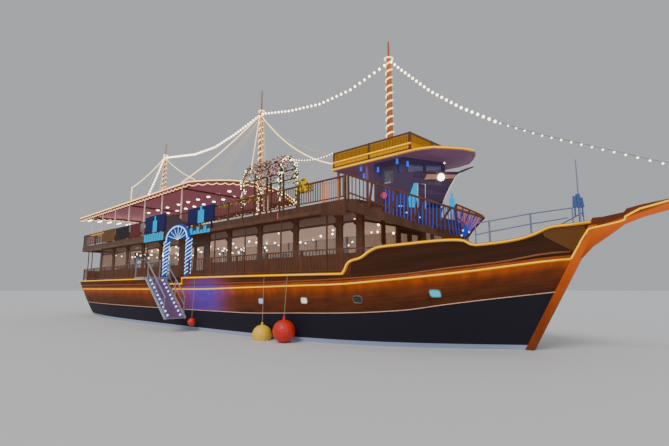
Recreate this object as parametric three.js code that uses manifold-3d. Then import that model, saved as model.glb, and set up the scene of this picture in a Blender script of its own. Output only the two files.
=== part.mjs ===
// Motorised timber dhow used as a dinner-cruise boat, afloat. Millimetres, +X forward, +Y to port, +Z up.
// The origin is on the centreline at the waterline, 14 m aft of where the stem meets the water.
import * as THREE from 'three';
import { mergeVertices } from 'three/addons/utils/BufferGeometryUtils.js';
import Module from 'manifold-3d';

const wasm = await Module();
wasm.setup();

// Driving dimensions of the hull
const STEM_X = 14000;            // stem's front edge at the waterline
const STEM_RAKE = 0.55;          // forward run of the stem for each unit of height
const STEM_DEPTH = 250;          // fore and aft depth of the stem timber
const STEM_HALF = 110;           // half the stem's and keel's thickness
const STERN_RAKE = -0.3;         // the transom leans aft as it rises
const STERN_AFT = 32300;         // distance of the transom aft of the stem
const KEEL_TOP = -1800;
const KEEL_BOTTOM = -2100;
const DECK_Z = 2450;             // main deck
const DECK_RISE = 180;           // least height of the deck above the rubbing strake's middle, at the bow
const BULWARK = 110;             // bulwark's thickness
const CAP_OVERHANG = 45;
const CAP_HEIGHT = 70;
const GAP = 0.3;                 // between pieces that touch
const CLEAR = 12;                // between a door leaf and its frame

// Driving dimensions of the houses and decks
const WALL = 80;
const SALOON_HALF = 3120;
const SALOON_FRONT = 9245;
const SALOON_BACK = -17000;
const CEILING_Z = 4950;
const UPPER_Z = 5200;            // upper deck's walking surface
const UPPER_HALF = 4050;
const UPPER_FRONT = 9250;
const UPPER_BACK = -18200;
const RAIL_HEIGHT = 880;
const APRON_TIP = 11700;         // forward end of the stepped apron's floor
const APRON_TIP_Z = 3900;
const APRON_RAIL_TIP = 12500;
const APRON_RAIL_TIP_Z = 4620;
const CANOPY_FRONT = -2500;
const CANOPY_BACK = -19900;
const CANOPY_HALF = 3850;
const CANOPY_BOW = 1100;         // the front edge reaches this much further forward on the centreline
const CANOPY_SLOPE = 0.0095;     // the canopy falls this much aft for each unit of length
const EAVE_Z = 7860;             // the canopy's edge and crown at its front
const CROWN_Z = 8240;
const BRIDGE_HALF = 1650;
const BRIDGE_ROOF_Z = 7200;
const BRIDGE_BACK = 6300;
const ENTRANCE = { back: -3900, front: -1600, head: 4450, sill: 3000 };

// Materials, one for each kind of surface
function paint(color, roughness, metalness = 0) {
  return new THREE.MeshStandardMaterial({ color, roughness, metalness });
}
const hullWood = paint(0x6b3418, 0.45);
const stemWood = paint(0xa8481c, 0.45);
const darkWood = paint(0x3b2216, 0.55);
const houseWood = paint(0x5d3a24, 0.5);
const deckWood = paint(0x8a6a48, 0.7);
const canopyPaint = paint(0x7a2f30, 0.6);
const roofPaint = paint(0x6a5a78, 0.5);
const whitePaint = paint(0xd9d5cc, 0.45);
const steel = paint(0x9a9da3, 0.35, 0.8);
const bronze = paint(0xa57a3c, 0.35, 0.9);
const redRubber = paint(0xc23a1e, 0.55);
const yellowRubber = paint(0xd8b52a, 0.55);
const panelPaint = paint(0x241a2c, 0.6);

// Shapes
const boat = new THREE.Group();

function add(name, geometry, material) {
  const mesh = new THREE.Mesh(geometry, material);
  mesh.name = name;
  boat.add(mesh);
  return mesh;
}

function box(low, high) {
  const size = low.map((value, axis) => high[axis] - value);
  const geometry = new THREE.BoxGeometry(...size);
  return geometry.translate(...low.map((value, axis) => value + size[axis] / 2));
}

function outline(points) {
  return new THREE.Shape(points.map(([u, v]) => new THREE.Vector2(u, v)));
}

// A plan outline (x, y) raised from z = low to z = high
function plate(points, low, high) {
  const geometry = new THREE.ExtrudeGeometry(outline(points), { depth: high - low, bevelEnabled: false });
  return geometry.translate(0, 0, low);
}

// A side profile (x, z) made solid from y = low to y = high
function profile(points, low, high) {
  const geometry = new THREE.ExtrudeGeometry(outline(points), { depth: high - low, bevelEnabled: false });
  return geometry.rotateX(Math.PI / 2).translate(0, high, 0);
}

// A cross-section (y, z) made solid from x = low to x = high
function section(points, low, high) {
  const geometry = new THREE.ExtrudeGeometry(outline(points), { depth: high - low, bevelEnabled: false });
  const turn = new THREE.Matrix4().set(0, 0, 1, low, 1, 0, 0, 0, 0, 1, 0, 0, 0, 0, 0, 1);
  return geometry.applyMatrix4(turn);
}

function rod(from, to, radius, sides = 8, endRadius = radius) {
  const start = new THREE.Vector3(...from);
  const run = new THREE.Vector3(...to).sub(start);
  const geometry = new THREE.CylinderGeometry(endRadius, radius, run.length(), sides);
  geometry.translate(0, run.length() / 2, 0);
  const turn = new THREE.Quaternion().setFromUnitVectors(new THREE.Vector3(0, 1, 0), run.clone().normalize());
  return geometry.applyQuaternion(turn).translate(...from);
}

// A square bar between two points, its sides upright
function bar(from, to, width, height = width) {
  const start = new THREE.Vector3(...from);
  const run = new THREE.Vector3(...to).sub(start);
  const along = run.clone().normalize();
  const upright = Math.abs(along.z) > 0.95 ? new THREE.Vector3(1, 0, 0) : new THREE.Vector3(0, 0, 1);
  const side = new THREE.Vector3().crossVectors(upright, along).normalize();
  const up = new THREE.Vector3().crossVectors(along, side);
  const geometry = new THREE.BoxGeometry(run.length(), width, height);
  const place = new THREE.Matrix4().makeBasis(along, side, up);
  place.setPosition(start.addScaledVector(run, 0.5));
  return geometry.applyMatrix4(place);
}

// A round line along a list of points, or along the smooth curve through them
function line(points, radius, sides = 6, steps = 0) {
  const vectors = points.map((point) => new THREE.Vector3(...point));
  const curve = new THREE.CatmullRomCurve3(vectors);
  const corner = (_, index) => {
    const angle = (2 * Math.PI * index) / sides;
    return [radius * Math.cos(angle), radius * Math.sin(angle)];
  };
  const ring = outline(Array.from({ length: sides }, corner));
  const options = { extrudePath: curve, steps: steps || points.length * 2, bevelEnabled: false };
  return new THREE.ExtrudeGeometry(ring, options);
}

// Rings of equal length, each a list of [x, y, z], skinned in order and closed at both ends
function skin(rings) {
  const count = rings[0].length;
  const positions = rings.flat(2);
  const faces = [];
  for (let row = 0; row + 1 < rings.length; row += 1) {
    for (let index = 0; index < count; index += 1) {
      const next = (index + 1) % count;
      const a = row * count + index;
      const b = row * count + next;
      faces.push(a, a + count, b, b, a + count, b + count);
    }
  }
  for (const [row, reversed] of [[0, true], [rings.length - 1, false]]) {
    const centre = [0, 1, 2].map((axis) => rings[row].reduce((sum, point) => sum + point[axis], 0) / count);
    const hub = positions.length / 3;
    positions.push(...centre);
    for (let index = 0; index < count; index += 1) {
      const a = row * count + index;
      const b = row * count + ((index + 1) % count);
      faces.push(...(reversed ? [hub, a, b] : [hub, b, a]));
    }
  }
  const geometry = new THREE.BufferGeometry();
  geometry.setAttribute('position', new THREE.Float32BufferAttribute(positions, 3));
  geometry.setIndex(faces);
  return outward(geometry);
}

function volume(geometry) {
  const place = geometry.getAttribute('position');
  const corners = geometry.getIndex().array;
  const point = (index) => new THREE.Vector3().fromBufferAttribute(place, corners[index]);
  let total = 0;
  for (let index = 0; index < corners.length; index += 3) {
    total += point(index).dot(point(index + 1).cross(point(index + 2)));
  }
  return total;
}

function outward(geometry) {
  if (volume(geometry) < 0) {
    const corners = geometry.getIndex().array;
    for (let index = 0; index < corners.length; index += 3) {
      [corners[index], corners[index + 1]] = [corners[index + 1], corners[index]];
    }
  }
  return geometry;
}

// Joining and cutting of closed meshes
function solid(geometry) {
  const bare = geometry.clone();
  bare.deleteAttribute('normal');
  bare.deleteAttribute('uv');
  const merged = mergeVertices(bare, 0.001);
  const vertProperties = new Float32Array(merged.getAttribute('position').array);
  const triVerts = new Uint32Array(merged.getIndex().array);
  return new wasm.Manifold(new wasm.Mesh({ numProp: 3, vertProperties, triVerts }));
}

function shape(body) {
  const { vertProperties, triVerts } = body.getMesh();
  const geometry = new THREE.BufferGeometry();
  geometry.setAttribute('position', new THREE.BufferAttribute(new Float32Array(vertProperties), 3));
  geometry.setIndex(new THREE.BufferAttribute(new Uint32Array(triVerts), 1));
  geometry.computeVertexNormals();
  return geometry;
}

function joined(geometries) {
  return geometries.map(solid).reduce((whole, piece) => whole.add(piece));
}

function join(...geometries) {
  return shape(joined(geometries));
}

function cut(base, ...tools) {
  return shape(tools.map(solid).reduce((whole, tool) => whole.subtract(tool), solid(base)));
}

// The piece with its foot cut to what it stands on, a hair's breadth clear of it
function seated(geometry, base, lift = [0, 0, GAP]) {
  return cut(geometry, base.clone().translate(...lift));
}

function mirrored(geometry) {
  const copy = geometry.clone().scale(1, -1, 1);
  const corners = copy.getIndex().array;
  for (let index = 0; index < corners.length; index += 3) {
    [corners[index], corners[index + 1]] = [corners[index + 1], corners[index]];
  }
  return copy;
}

function between(table, key, value, from) {
  const last = table.length - 1;
  if (value <= table[0][from]) return table[0][key];
  if (value >= table[last][from]) return table[last][key];
  const index = table.findIndex((row) => row[from] >= value);
  const low = table[index - 1];
  const high = table[index];
  return THREE.MathUtils.mapLinear(value, low[from], high[from], low[key], high[key]);
}

// The hull's stations, by their distance aft of the stem at the same height. top: half-breadth 3.6 m above
// the water; water: half-breadth at the waterline; full: fullness of the bottom; keel: its lowest height
const stations = [
  { aft: STEM_DEPTH, top: 110, water: 110, full: 1.0, keel: -1500 },
  { aft: 700, top: 900, water: 380, full: 1.0, keel: -1650 },
  { aft: 1300, top: 1650, water: 800, full: 1.1, keel: -1750 },
  { aft: 2200, top: 2520, water: 1400, full: 1.25, keel: KEEL_TOP },
  { aft: 3200, top: 3220, water: 2030, full: 1.4, keel: KEEL_TOP },
  { aft: 4200, top: 3740, water: 2560, full: 1.55, keel: KEEL_TOP },
  { aft: 5250, top: 4100, water: 2995, full: 1.71, keel: KEEL_TOP },
  { aft: 6500, top: 4290, water: 3390, full: 2.0, keel: KEEL_TOP },
  { aft: 8500, top: 4400, water: 3800, full: 2.4, keel: KEEL_TOP },
  { aft: 11000, top: 4450, water: 4030, full: 2.8, keel: KEEL_TOP },
  { aft: 15000, top: 4480, water: 4120, full: 3.0, keel: KEEL_TOP },
  { aft: 20000, top: 4480, water: 4100, full: 2.8, keel: KEEL_TOP },
  { aft: 24500, top: 4440, water: 3950, full: 2.2, keel: KEEL_TOP },
  { aft: 27000, top: 4380, water: 3720, full: 1.8, keel: -1330 },
  { aft: 29500, top: 4280, water: 3350, full: 1.5, keel: -870 },
  { aft: STERN_AFT, top: 4080, water: 2800, full: 1.3, keel: -350 },
];
const TOP_Z = 3600;
const STRAKE_LEVEL = 2400;       // height at which a station's place along the strake is read

// Height of the rubbing strake along the hull, and of the bulwark's cap
const strakeLine = [
  { x: -19300, z: 1975 },
  { x: 0, z: 2000 },
  { x: 3130, z: 2060 },
  { x: 7000, z: 2145 },
  { x: 8840, z: 2190 },
  { x: 9980, z: 2270 },
  { x: 11600, z: 2420 },
  { x: 13020, z: 2585 },
  { x: 14260, z: 2780 },
  { x: 15160, z: 2935 },
  { x: 15420, z: 2970 },
];
const sheerLine = [
  { x: -19600, z: 2600 },
  { x: 9000, z: 2580 },
  { x: 9190, z: 2850 },
  { x: 9400, z: 3010 },
  { x: 9790, z: 3100 },
  { x: 10200, z: 3320 },
  { x: 10500, z: 3430 },
  { x: 11250, z: 3490 },
  { x: 12770, z: 3580 },
  { x: 13060, z: 3555 },
  { x: 13280, z: 3415 },
  { x: 13700, z: 3450 },
  { x: 14390, z: 3575 },
  { x: 14780, z: 3720 },
  { x: 15190, z: 3935 },
  { x: 15600, z: 4015 },
  { x: 16020, z: 4125 },
];

function stationSlope(aft) {
  const bow = THREE.MathUtils.smoothstep(aft, 0, 9000);
  const stern = THREE.MathUtils.smoothstep(aft, 26000, STERN_AFT);
  return STEM_RAKE * (1 - bow) + STERN_RAKE * stern;
}

function stationX(aft, z) {
  return STEM_X - aft + stationSlope(aft) * z;
}

function aftOf(x, z) {
  let aft = STEM_X - x;
  for (let round = 0; round < 12; round += 1) {
    aft = STEM_X - x + stationSlope(aft) * z;
  }
  return aft;
}

function halfAtStation(aft, z) {
  const water = between(stations, 'water', aft, 'aft');
  if (z < 0) {
    const keel = between(stations, 'keel', aft, 'aft');
    const depth = Math.min(z / keel, 1);
    return STEM_HALF + (water - STEM_HALF) * (1 - depth ** between(stations, 'full', aft, 'aft'));
  }
  const top = between(stations, 'top', aft, 'aft');
  return water + (top - water) * (z / TOP_Z) ** 0.8;
}

function halfAt(x, z) {
  return halfAtStation(aftOf(x, z), z);
}

function sheerAt(x) {
  return between(sheerLine, 'z', x, 'x');
}

// The cap's height where it crosses a station, which leans with the stem
function sheerAtStation(aft) {
  let z = TOP_Z;
  for (let round = 0; round < 12; round += 1) {
    z = sheerAt(stationX(aft, z));
  }
  return z;
}

function strakeAtStation(aft) {
  return between(strakeLine, 'z', stationX(aft, STRAKE_LEVEL), 'x');
}

function deckAtStation(aft) {
  return Math.max(DECK_Z, strakeAtStation(aft) + DECK_RISE);
}

// One ring of the hull at a station, from the port deck edge down round the keel and up to starboard
const STRAKE = { reach: 75, half: 85, chamfer: 40 };

function hullRing(aft) {
  const keel = between(stations, 'keel', aft, 'aft');
  const deck = deckAtStation(aft);
  const strake = strakeAtStation(aft);
  const reach = aft > STEM_DEPTH ? STRAKE.reach : 0;
  const levels = [
    [keel, 0],
    [keel * 0.92, 0],
    [keel * 0.75, 0],
    [keel * 0.5, 0],
    [keel * 0.25, 0],
    [0, 0],
    [strake * 0.5, 0],
    [strake - STRAKE.half - STRAKE.chamfer, 0],
    [strake - STRAKE.half, reach],
    [strake + STRAKE.half, reach],
    [strake + STRAKE.half + STRAKE.chamfer, 0],
    [deck, 0],
  ];
  const side = levels.map(([z, out]) => [stationX(aft, z), halfAtStation(aft, z) + out, z]);
  const other = side.map(([x, y, z]) => [x, -y, z]).reverse();
  return [...side, ...other];
}

// Stations that the hull and the bulwarks share, so that they meet all along the deck's edge
const NEAREST_RINGS = 30;
const places = [
  ...sheerLine.slice(1, -1).map(({ x, z }) => aftOf(x, z)),
  ...stations.map(({ aft }) => aft),
].sort((a, b) => a - b).filter((aft, index, all) => index === 0 || aft - all[index - 1] > NEAREST_RINGS);
const hullGeometry = skin(places.map(hullRing));
add('hull', hullGeometry, hullWood);

// Stem, keel, deadwood and the sole piece under the rudder, in one profile
const SHAFT = { x: -16350, z: -1370, radius: 45, blade: 525 };
const RUDDER = { x: -17250, back: -18450, top: -800, bottom: -1930, stock: 80, blade: 60 };
const DEADWOOD_BACK = -15600;

const STEM_TOP = 4000;
const stemFront = (z) => STEM_X + STEM_RAKE * z;

function keelTopAt(x) {
  return between(stations, 'keel', STEM_X - x, 'aft');
}

function stemGeometry() {
  const inner = places.filter((aft) => STEM_X - aft > DEADWOOD_BACK).map((aft) => {
    const keel = between(stations, 'keel', aft, 'aft');
    const clear = aft > STEM_DEPTH ? 0 : GAP;
    return [stationX(aft, keel) + clear, keel - GAP];
  });
  const head = [stationX(STEM_DEPTH, STEM_TOP) + GAP, STEM_TOP];
  const points = [
    head,
    [stemFront(STEM_TOP), STEM_TOP],
    [stemFront(-1650), -1650],
    [stemFront(-1650) - 350, -1980],
    [stemFront(-1650) - 900, KEEL_BOTTOM],
    [RUDDER.x - 200, KEEL_BOTTOM],
    [RUDDER.x - 200, RUDDER.bottom - GAP],
    [DEADWOOD_BACK, RUDDER.bottom - GAP],
    [DEADWOOD_BACK, keelTopAt(DEADWOOD_BACK) - GAP],
    ...inner.reverse(),
  ];
  return profile(points, -STEM_HALF, STEM_HALF);
}

const SHAFT_END = DEADWOOD_BACK + 380;
const shaftHole = rod([DEADWOOD_BACK - 500, 0, SHAFT.z], [SHAFT_END + GAP, 0, SHAFT.z], SHAFT.radius + 5, 12);
add('stem_and_keel', cut(stemGeometry(), shaftHole), stemWood);

// Beak, the long pointed head that the stem ends in
const beakOutline = [
  [stemFront(2990) + GAP, 2990],
  [stemFront(2990) + 330, 3330],
  [16600, 3750],
  [16870, 3950],
  [17350, 4120],
  [18050, 4280],
  [19700, 4820],
  [19700, 4940],
  [18050, 4560],
  [17350, 4470],
  [17000, 4400],
  [16920, 4300],
  [16350, 4220],
  [stemFront(4220) - STEM_DEPTH + GAP, 4220],
  [stemFront(STEM_TOP) - STEM_DEPTH + GAP, STEM_TOP + GAP],
  [stemFront(STEM_TOP) + GAP, STEM_TOP + GAP],
];
const beak = profile(beakOutline, -STEM_HALF - 10, STEM_HALF + 10);
add('beak', beak, stemWood);

// Bulwarks with their cap, stepped up at the bow
function bulwarkRing(aft) {
  const top = sheerAtStation(aft);
  const foot = deckAtStation(aft) + GAP;
  const neck = Math.max(top - CAP_HEIGHT, foot + 20);
  const rows = [
    [foot, 0],
    [neck, 0],
    [neck + 5, CAP_OVERHANG],
    [top, CAP_OVERHANG],
    [top, -BULWARK - CAP_OVERHANG],
    [neck + 5, -BULWARK - CAP_OVERHANG],
    [neck, -BULWARK],
    [foot, -BULWARK],
  ];
  return rows.map(([z, out]) => [stationX(aft, z), Math.max(halfAtStation(aft, z) + out, 4), z]);
}

const bulwark = skin(places.map(bulwarkRing));
add('bulwark_port', bulwark, hullWood);
const starboardBulwark = mirrored(bulwark);
add('bulwark_starboard', starboardBulwark, hullWood);

// Transom board, which closes the stern above the deck. Its face is bare
const BOARD = { low: 1500, high: 3400, half: 3250, thick: 90 };
const transomX = (z) => stationX(STERN_AFT, z);
add('transom_board', profile([
  [transomX(BOARD.low) - GAP, BOARD.low],
  [transomX(BOARD.high) - GAP, BOARD.high],
  [transomX(BOARD.high) - BOARD.thick, BOARD.high],
  [transomX(BOARD.low) - BOARD.thick, BOARD.low],
], -BOARD.half, BOARD.half), stemWood);

// Propeller on its shaft, and the rudder
const PROPELLER = { hub: 110, nose: 90, half: 170, blades: 4, thick: 24, wide: 170, long: 215, pitch: 0.6 };

function propellerGeometry() {
  const { hub, nose, half, blades, thick, wide, long, pitch } = PROPELLER;
  const parts = [
    rod([SHAFT.x - half, 0, SHAFT.z], [SHAFT.x + half, 0, SHAFT.z], hub, 12, nose),
    rod([SHAFT.x, 0, SHAFT.z], [SHAFT_END, 0, SHAFT.z], SHAFT.radius, 12),
  ];
  for (let index = 0; index < blades; index += 1) {
    const blade = new THREE.SphereGeometry(1, 8, 6).scale(thick, wide, long);
    blade.rotateZ(pitch).translate(0, 0, SHAFT.blade - long);
    parts.push(blade.rotateX((2 * Math.PI * index) / blades).translate(SHAFT.x, 0, SHAFT.z));
  }
  return join(...parts);
}
add('propeller', propellerGeometry(), bronze);

function rudderGeometry() {
  const half = RUDDER.blade;
  const plan = [
    [RUDDER.x + 150, 0],
    [RUDDER.x + 100, half],
    [RUDDER.x - 300, half],
    [RUDDER.back, 12],
    [RUDDER.back, -12],
    [RUDDER.x - 300, -half],
    [RUDDER.x + 100, -half],
  ];
  const blade = plate(plan, RUDDER.bottom, RUDDER.top);
  const stockTop = keelTopAt(RUDDER.x) - 60;
  const stock = rod([RUDDER.x, 0, RUDDER.top - 50], [RUDDER.x, 0, stockTop], RUDDER.stock, 12);
  return join(blade, stock);
}
add('rudder', rudderGeometry(), darkWood);

// Saloon on the main deck: walls with a tall pane and a low light above it in each bay
const PANE_LEVELS = [
  { low: 3350, high: 4500 },
  { low: 4580, high: 4900 },
];
const BAY_PITCH = 2500;
const BAY_WIDTH = 2200;
const THROUGH = 50;              // how far a cutting box passes each face of what it cuts
const FLOOR_Z = DECK_Z + GAP;
const HEAD_Z = CEILING_Z - GAP;

// Side walls: whole bays are counted forward from the first one's aft edge, narrow ones are given by both edges
const foreBay = [8230, 8940];
const entranceBay = [-1300, 400];
const sideWalls = [
  { name: 'saloon_side_starboard_aft', side: -1, back: SALOON_BACK, front: ENTRANCE.back - 1,
    first: -16800, bays: 5, narrow: [] },
  { name: 'saloon_side_starboard_fore', side: -1, back: ENTRANCE.front + 1, front: SALOON_FRONT,
    first: 700, bays: 3, narrow: [entranceBay, foreBay] },
  { name: 'saloon_side_port', side: 1, back: SALOON_BACK, front: SALOON_FRONT,
    first: -16800, bays: 10, narrow: [foreBay] },
];
for (const { name, side, back, front, first, bays, narrow } of sideWalls) {
  const faces = [side * SALOON_HALF, side * (SALOON_HALF - WALL)].sort((a, b) => a - b);
  const wall = box([back, faces[0], FLOOR_Z], [front, faces[1], HEAD_Z]);
  const spans = [...narrow];
  for (let index = 0; index < bays; index += 1) {
    const start = first + index * BAY_PITCH;
    spans.push([start, start + BAY_WIDTH]);
  }
  const holes = spans.flatMap(([start, end]) => PANE_LEVELS.map(({ low, high }) => (
    box([start, faces[0] - THROUGH, low], [end, faces[1] + THROUGH, high]))));
  add(name, cut(wall, ...holes), houseWood);
}

const INNER_HALF = SALOON_HALF - WALL - GAP;
const SALOON_DOOR = { half: 800, head: 4450 };
const BACK_DOOR_HALF = 450;

// An end wall across the saloon: spans are the panes' edges on the port side, repeated to starboard
function endWall(x, spans, doorHalf) {
  const wall = box([x, -INNER_HALF, FLOOR_Z], [x + WALL, INNER_HALF, HEAD_Z]);
  const both = spans.flatMap(([near, far]) => [[near, far], [-far, -near]]);
  const holes = both.flatMap(([start, end]) => PANE_LEVELS.map(({ low, high }) => (
    box([x - THROUGH, start, low], [x + WALL + THROUGH, end, high]))));
  const door = box(
    [x - THROUGH, -doorHalf, FLOOR_Z - THROUGH],
    [x + WALL + THROUGH, doorHalf, SALOON_DOOR.head],
  );
  return cut(wall, ...holes, door);
}
const FRONT_SPANS = [[930, 1700], [1880, 2980]];
const BACK_SPANS = [[700, 1700], [1880, 2900]];
add('saloon_front', endWall(SALOON_FRONT - WALL, FRONT_SPANS, SALOON_DOOR.half), houseWood);
add('saloon_back', endWall(SALOON_BACK, BACK_SPANS, BACK_DOOR_HALF), houseWood);

// Doors: leaves with one big pane each, turning on a pivot pin at the hinge side
const LEAF = 45;
const DOOR_STILE = 140;
const DOOR_RAIL = 180;
const PIVOT_INSET = 40;          // the pin's distance from the leaf's edge
const PIVOT = 14;

function hungLeaf(leaf, pane, pin, low, high) {
  return join(cut(leaf, pane), rod([...pin, low], [...pin, high], PIVOT, 8));
}

function leafAcross(x, hinge, free) {
  const edges = [hinge + Math.sign(free - hinge) * CLEAR, free - Math.sign(free - hinge) * CLEAR / 2];
  const [low, high] = [...edges].sort((a, b) => a - b);
  const leaf = box([x, low, FLOOR_Z + CLEAR], [x + LEAF, high, SALOON_DOOR.head - CLEAR]);
  const pane = box(
    [x - THROUGH, low + DOOR_STILE, PANE_LEVELS[0].low],
    [x + LEAF + THROUGH, high - DOOR_STILE, SALOON_DOOR.head - DOOR_RAIL],
  );
  const pin = [x + LEAF / 2, edges[0] + Math.sign(free - hinge) * PIVOT_INSET];
  return hungLeaf(leaf, pane, pin, FLOOR_Z, SALOON_DOOR.head - GAP);
}
const LEAF_IN = (WALL - LEAF) / 2;
add('front_door_port', leafAcross(SALOON_FRONT - WALL + LEAF_IN, SALOON_DOOR.half, 0), darkWood);
add('front_door_starboard', leafAcross(SALOON_FRONT - WALL + LEAF_IN, -SALOON_DOOR.half, 0), darkWood);
add('back_door', leafAcross(SALOON_BACK + LEAF_IN, BACK_DOOR_HALF, -BACK_DOOR_HALF), darkWood);

// Entrance amidships to starboard: a frame in the wall, two leaves, and the arch that stands outside it
const ENTRANCE_MID = (ENTRANCE.back + ENTRANCE.front) / 2;
const FRAME = 120;
add('entrance_frame', cut(
  box([ENTRANCE.back, -SALOON_HALF, FLOOR_Z], [ENTRANCE.front, -SALOON_HALF + WALL, HEAD_Z]),
  box(
    [ENTRANCE.back + FRAME, -SALOON_HALF - THROUGH, FLOOR_Z - THROUGH],
    [ENTRANCE.front - FRAME, -SALOON_HALF + WALL + THROUGH, ENTRANCE.head],
  ),
), houseWood);

function leafAlong(hinge, free) {
  const y = -SALOON_HALF + LEAF_IN;
  const inward = Math.sign(free - hinge);
  const edges = [hinge + inward * CLEAR, free - inward * CLEAR / 2];
  const [low, high] = [...edges].sort((a, b) => a - b);
  const leaf = box([low, y, FLOOR_Z + CLEAR], [high, y + LEAF, ENTRANCE.head - CLEAR]);
  const pane = box(
    [low + DOOR_STILE, y - THROUGH, ENTRANCE.sill],
    [high - DOOR_STILE, y + LEAF + THROUGH, ENTRANCE.head - DOOR_RAIL],
  );
  const pin = [edges[0] + inward * PIVOT_INSET, y + LEAF / 2];
  return hungLeaf(leaf, pane, pin, FLOOR_Z, ENTRANCE.head - GAP);
}
add('entrance_door_aft', leafAlong(ENTRANCE.back + FRAME, ENTRANCE_MID), darkWood);
add('entrance_door_fore', leafAlong(ENTRANCE.front - FRAME, ENTRANCE_MID), darkWood);

// Inside the saloon: a buffet on the centreline and benches along the walls
const BUFFET = { back: -9000, front: -5200, half: 600, top: 3360, board: 60, inset: 80 };
add('buffet', join(
  box(
    [BUFFET.back + BUFFET.inset, -BUFFET.half + BUFFET.inset, FLOOR_Z],
    [BUFFET.front - BUFFET.inset, BUFFET.half - BUFFET.inset, BUFFET.top - BUFFET.board / 2],
  ),
  box([BUFFET.back, -BUFFET.half, BUFFET.top - BUFFET.board], [BUFFET.front, BUFFET.half, BUFFET.top]),
), darkWood);
const BENCH = { clear: 20, seat: 480, seatHeight: 450, rest: 90, restHeight: 820 };
const benches = [
  { name: 'bench_port', side: 1, back: -15500, front: 8000 },
  { name: 'bench_starboard', side: -1, back: 300, front: 8000 },
];
for (const { name, side, back, front } of benches) {
  const wall = side * (SALOON_HALF - WALL - BENCH.clear);
  const seat = [wall, wall - side * BENCH.seat].sort((a, b) => a - b);
  const rest = [wall, wall - side * BENCH.rest].sort((a, b) => a - b);
  add(name, join(
    box([back, seat[0], FLOOR_Z], [front, seat[1], FLOOR_Z + BENCH.seatHeight]),
    box([back, rest[0], FLOOR_Z], [front, rest[1], FLOOR_Z + BENCH.restHeight]),
  ), houseWood);
}

// Arch over the way in: two columns on the bulwark and a half-round rim
const ARCH = { back: -3830, front: -1400, y: -4230, foot: 2560, spring: 4600, rise: 5350, column: 140, rim: 80 };

function archGeometry() {
  const columns = [ARCH.back, ARCH.front].map((x) => (
    rod([x, ARCH.y, ARCH.foot], [x, ARCH.y, ARCH.spring], ARCH.column, 12)));
  const reach = (ARCH.front - ARCH.back) / 2;
  const centre = (ARCH.front + ARCH.back) / 2;
  const points = [];
  for (let index = 0; index <= 10; index += 1) {
    const angle = (Math.PI * index) / 10;
    points.push([
      centre + reach * Math.cos(angle),
      ARCH.y,
      ARCH.spring + (ARCH.rise - ARCH.spring) * Math.sin(angle),
    ]);
  }
  return seated(join(...columns, line(points, ARCH.rim, 8, 16)), starboardBulwark);
}
add('entrance_arch', archGeometry(), whitePaint);

// Boarding platform at the hull, and the gangway that is hinged on it
const PLATFORM = { back: -3900, front: -2700, out: -5850, z: 2600, thick: 90 };
const hullEdge = -halfAt(PLATFORM.back, PLATFORM.z) - CAP_OVERHANG;
const GANGWAY = { x: -350, y: -5300, z: 650, width: 1000, depth: 130, rail: 900, pin: 28 };
const hinge = [PLATFORM.front + 60, GANGWAY.y, PLATFORM.z - 65];
const GANGWAY_SIDE = 60;
const pinHalf = GANGWAY.width / 2 - GANGWAY_SIDE / 2 - GAP;

const PLATFORM_BRACE = { inset: 120, from: 500, lap: 10, into: 60, foot: 2280, read: 2250, thick: 70 };
const PLATFORM_POST = { inset: 40, atHull: 90, half: 20, sunk: 40, high: 950, rail: 930, railThick: 36 };
const LUG = { apart: 500, half: 25, lap: 20, low: 10, below: 45 };

function platformGeometry() {
  const { back, front, out, z, thick } = PLATFORM;
  const floor = box([back, out, z - thick], [front, hullEdge - GAP, z]);
  const brace = PLATFORM_BRACE;
  const braces = [back + brace.inset, front - brace.inset].map((x) => bar(
    [x, out + brace.from, z - thick + brace.lap],
    [x, -halfAt(x, brace.read) + brace.into, brace.foot],
    brace.thick,
  ));
  const { inset, atHull, half, sunk, high, rail: railZ, railThick } = PLATFORM_POST;
  const outer = [back + inset, out + inset];
  const inner = [back + inset, hullEdge - atHull];
  const forward = [front - inset, hullEdge - atHull];
  const posts = [outer, inner, forward].map(([x, y]) => (
    box([x - half, y - half, z - sunk], [x + half, y + half, z + high])));
  const rail = bar([...outer, z + railZ], [...inner, z + railZ], railThick);
  const pinEnds = [-pinHalf, pinHalf].map((reach) => [hinge[0], GANGWAY.y + reach, hinge[2]]);
  const pin = rod(...pinEnds, GANGWAY.pin, 12);
  const lugs = [-LUG.apart / 2, LUG.apart / 2].map((y) => box(
    [front - LUG.lap, GANGWAY.y + y - LUG.half, z - thick + LUG.low],
    [hinge[0], GANGWAY.y + y + LUG.half, z - LUG.below],
  ));
  return seated(join(floor, ...braces, ...posts, rail, pin, ...lugs), hullGeometry, [0, -GAP, 0]);
}
add('boarding_platform', platformGeometry(), steel);

// Shares are of the way from the gangway's head down to its foot
const TREAD = { from: 0.045, below: 10, thick: 30 };
const GANGWAY_POST = { shares: [0.08, 0.5, 0.92], size: 40 };
const GANGWAY_RAILS = [
  { from: 0.04, to: 0.97, lift: GANGWAY.rail - 5, thick: 44 },
  { from: 0.06, to: 0.94, lift: GANGWAY.rail / 2, thick: 24 },
];

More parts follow.
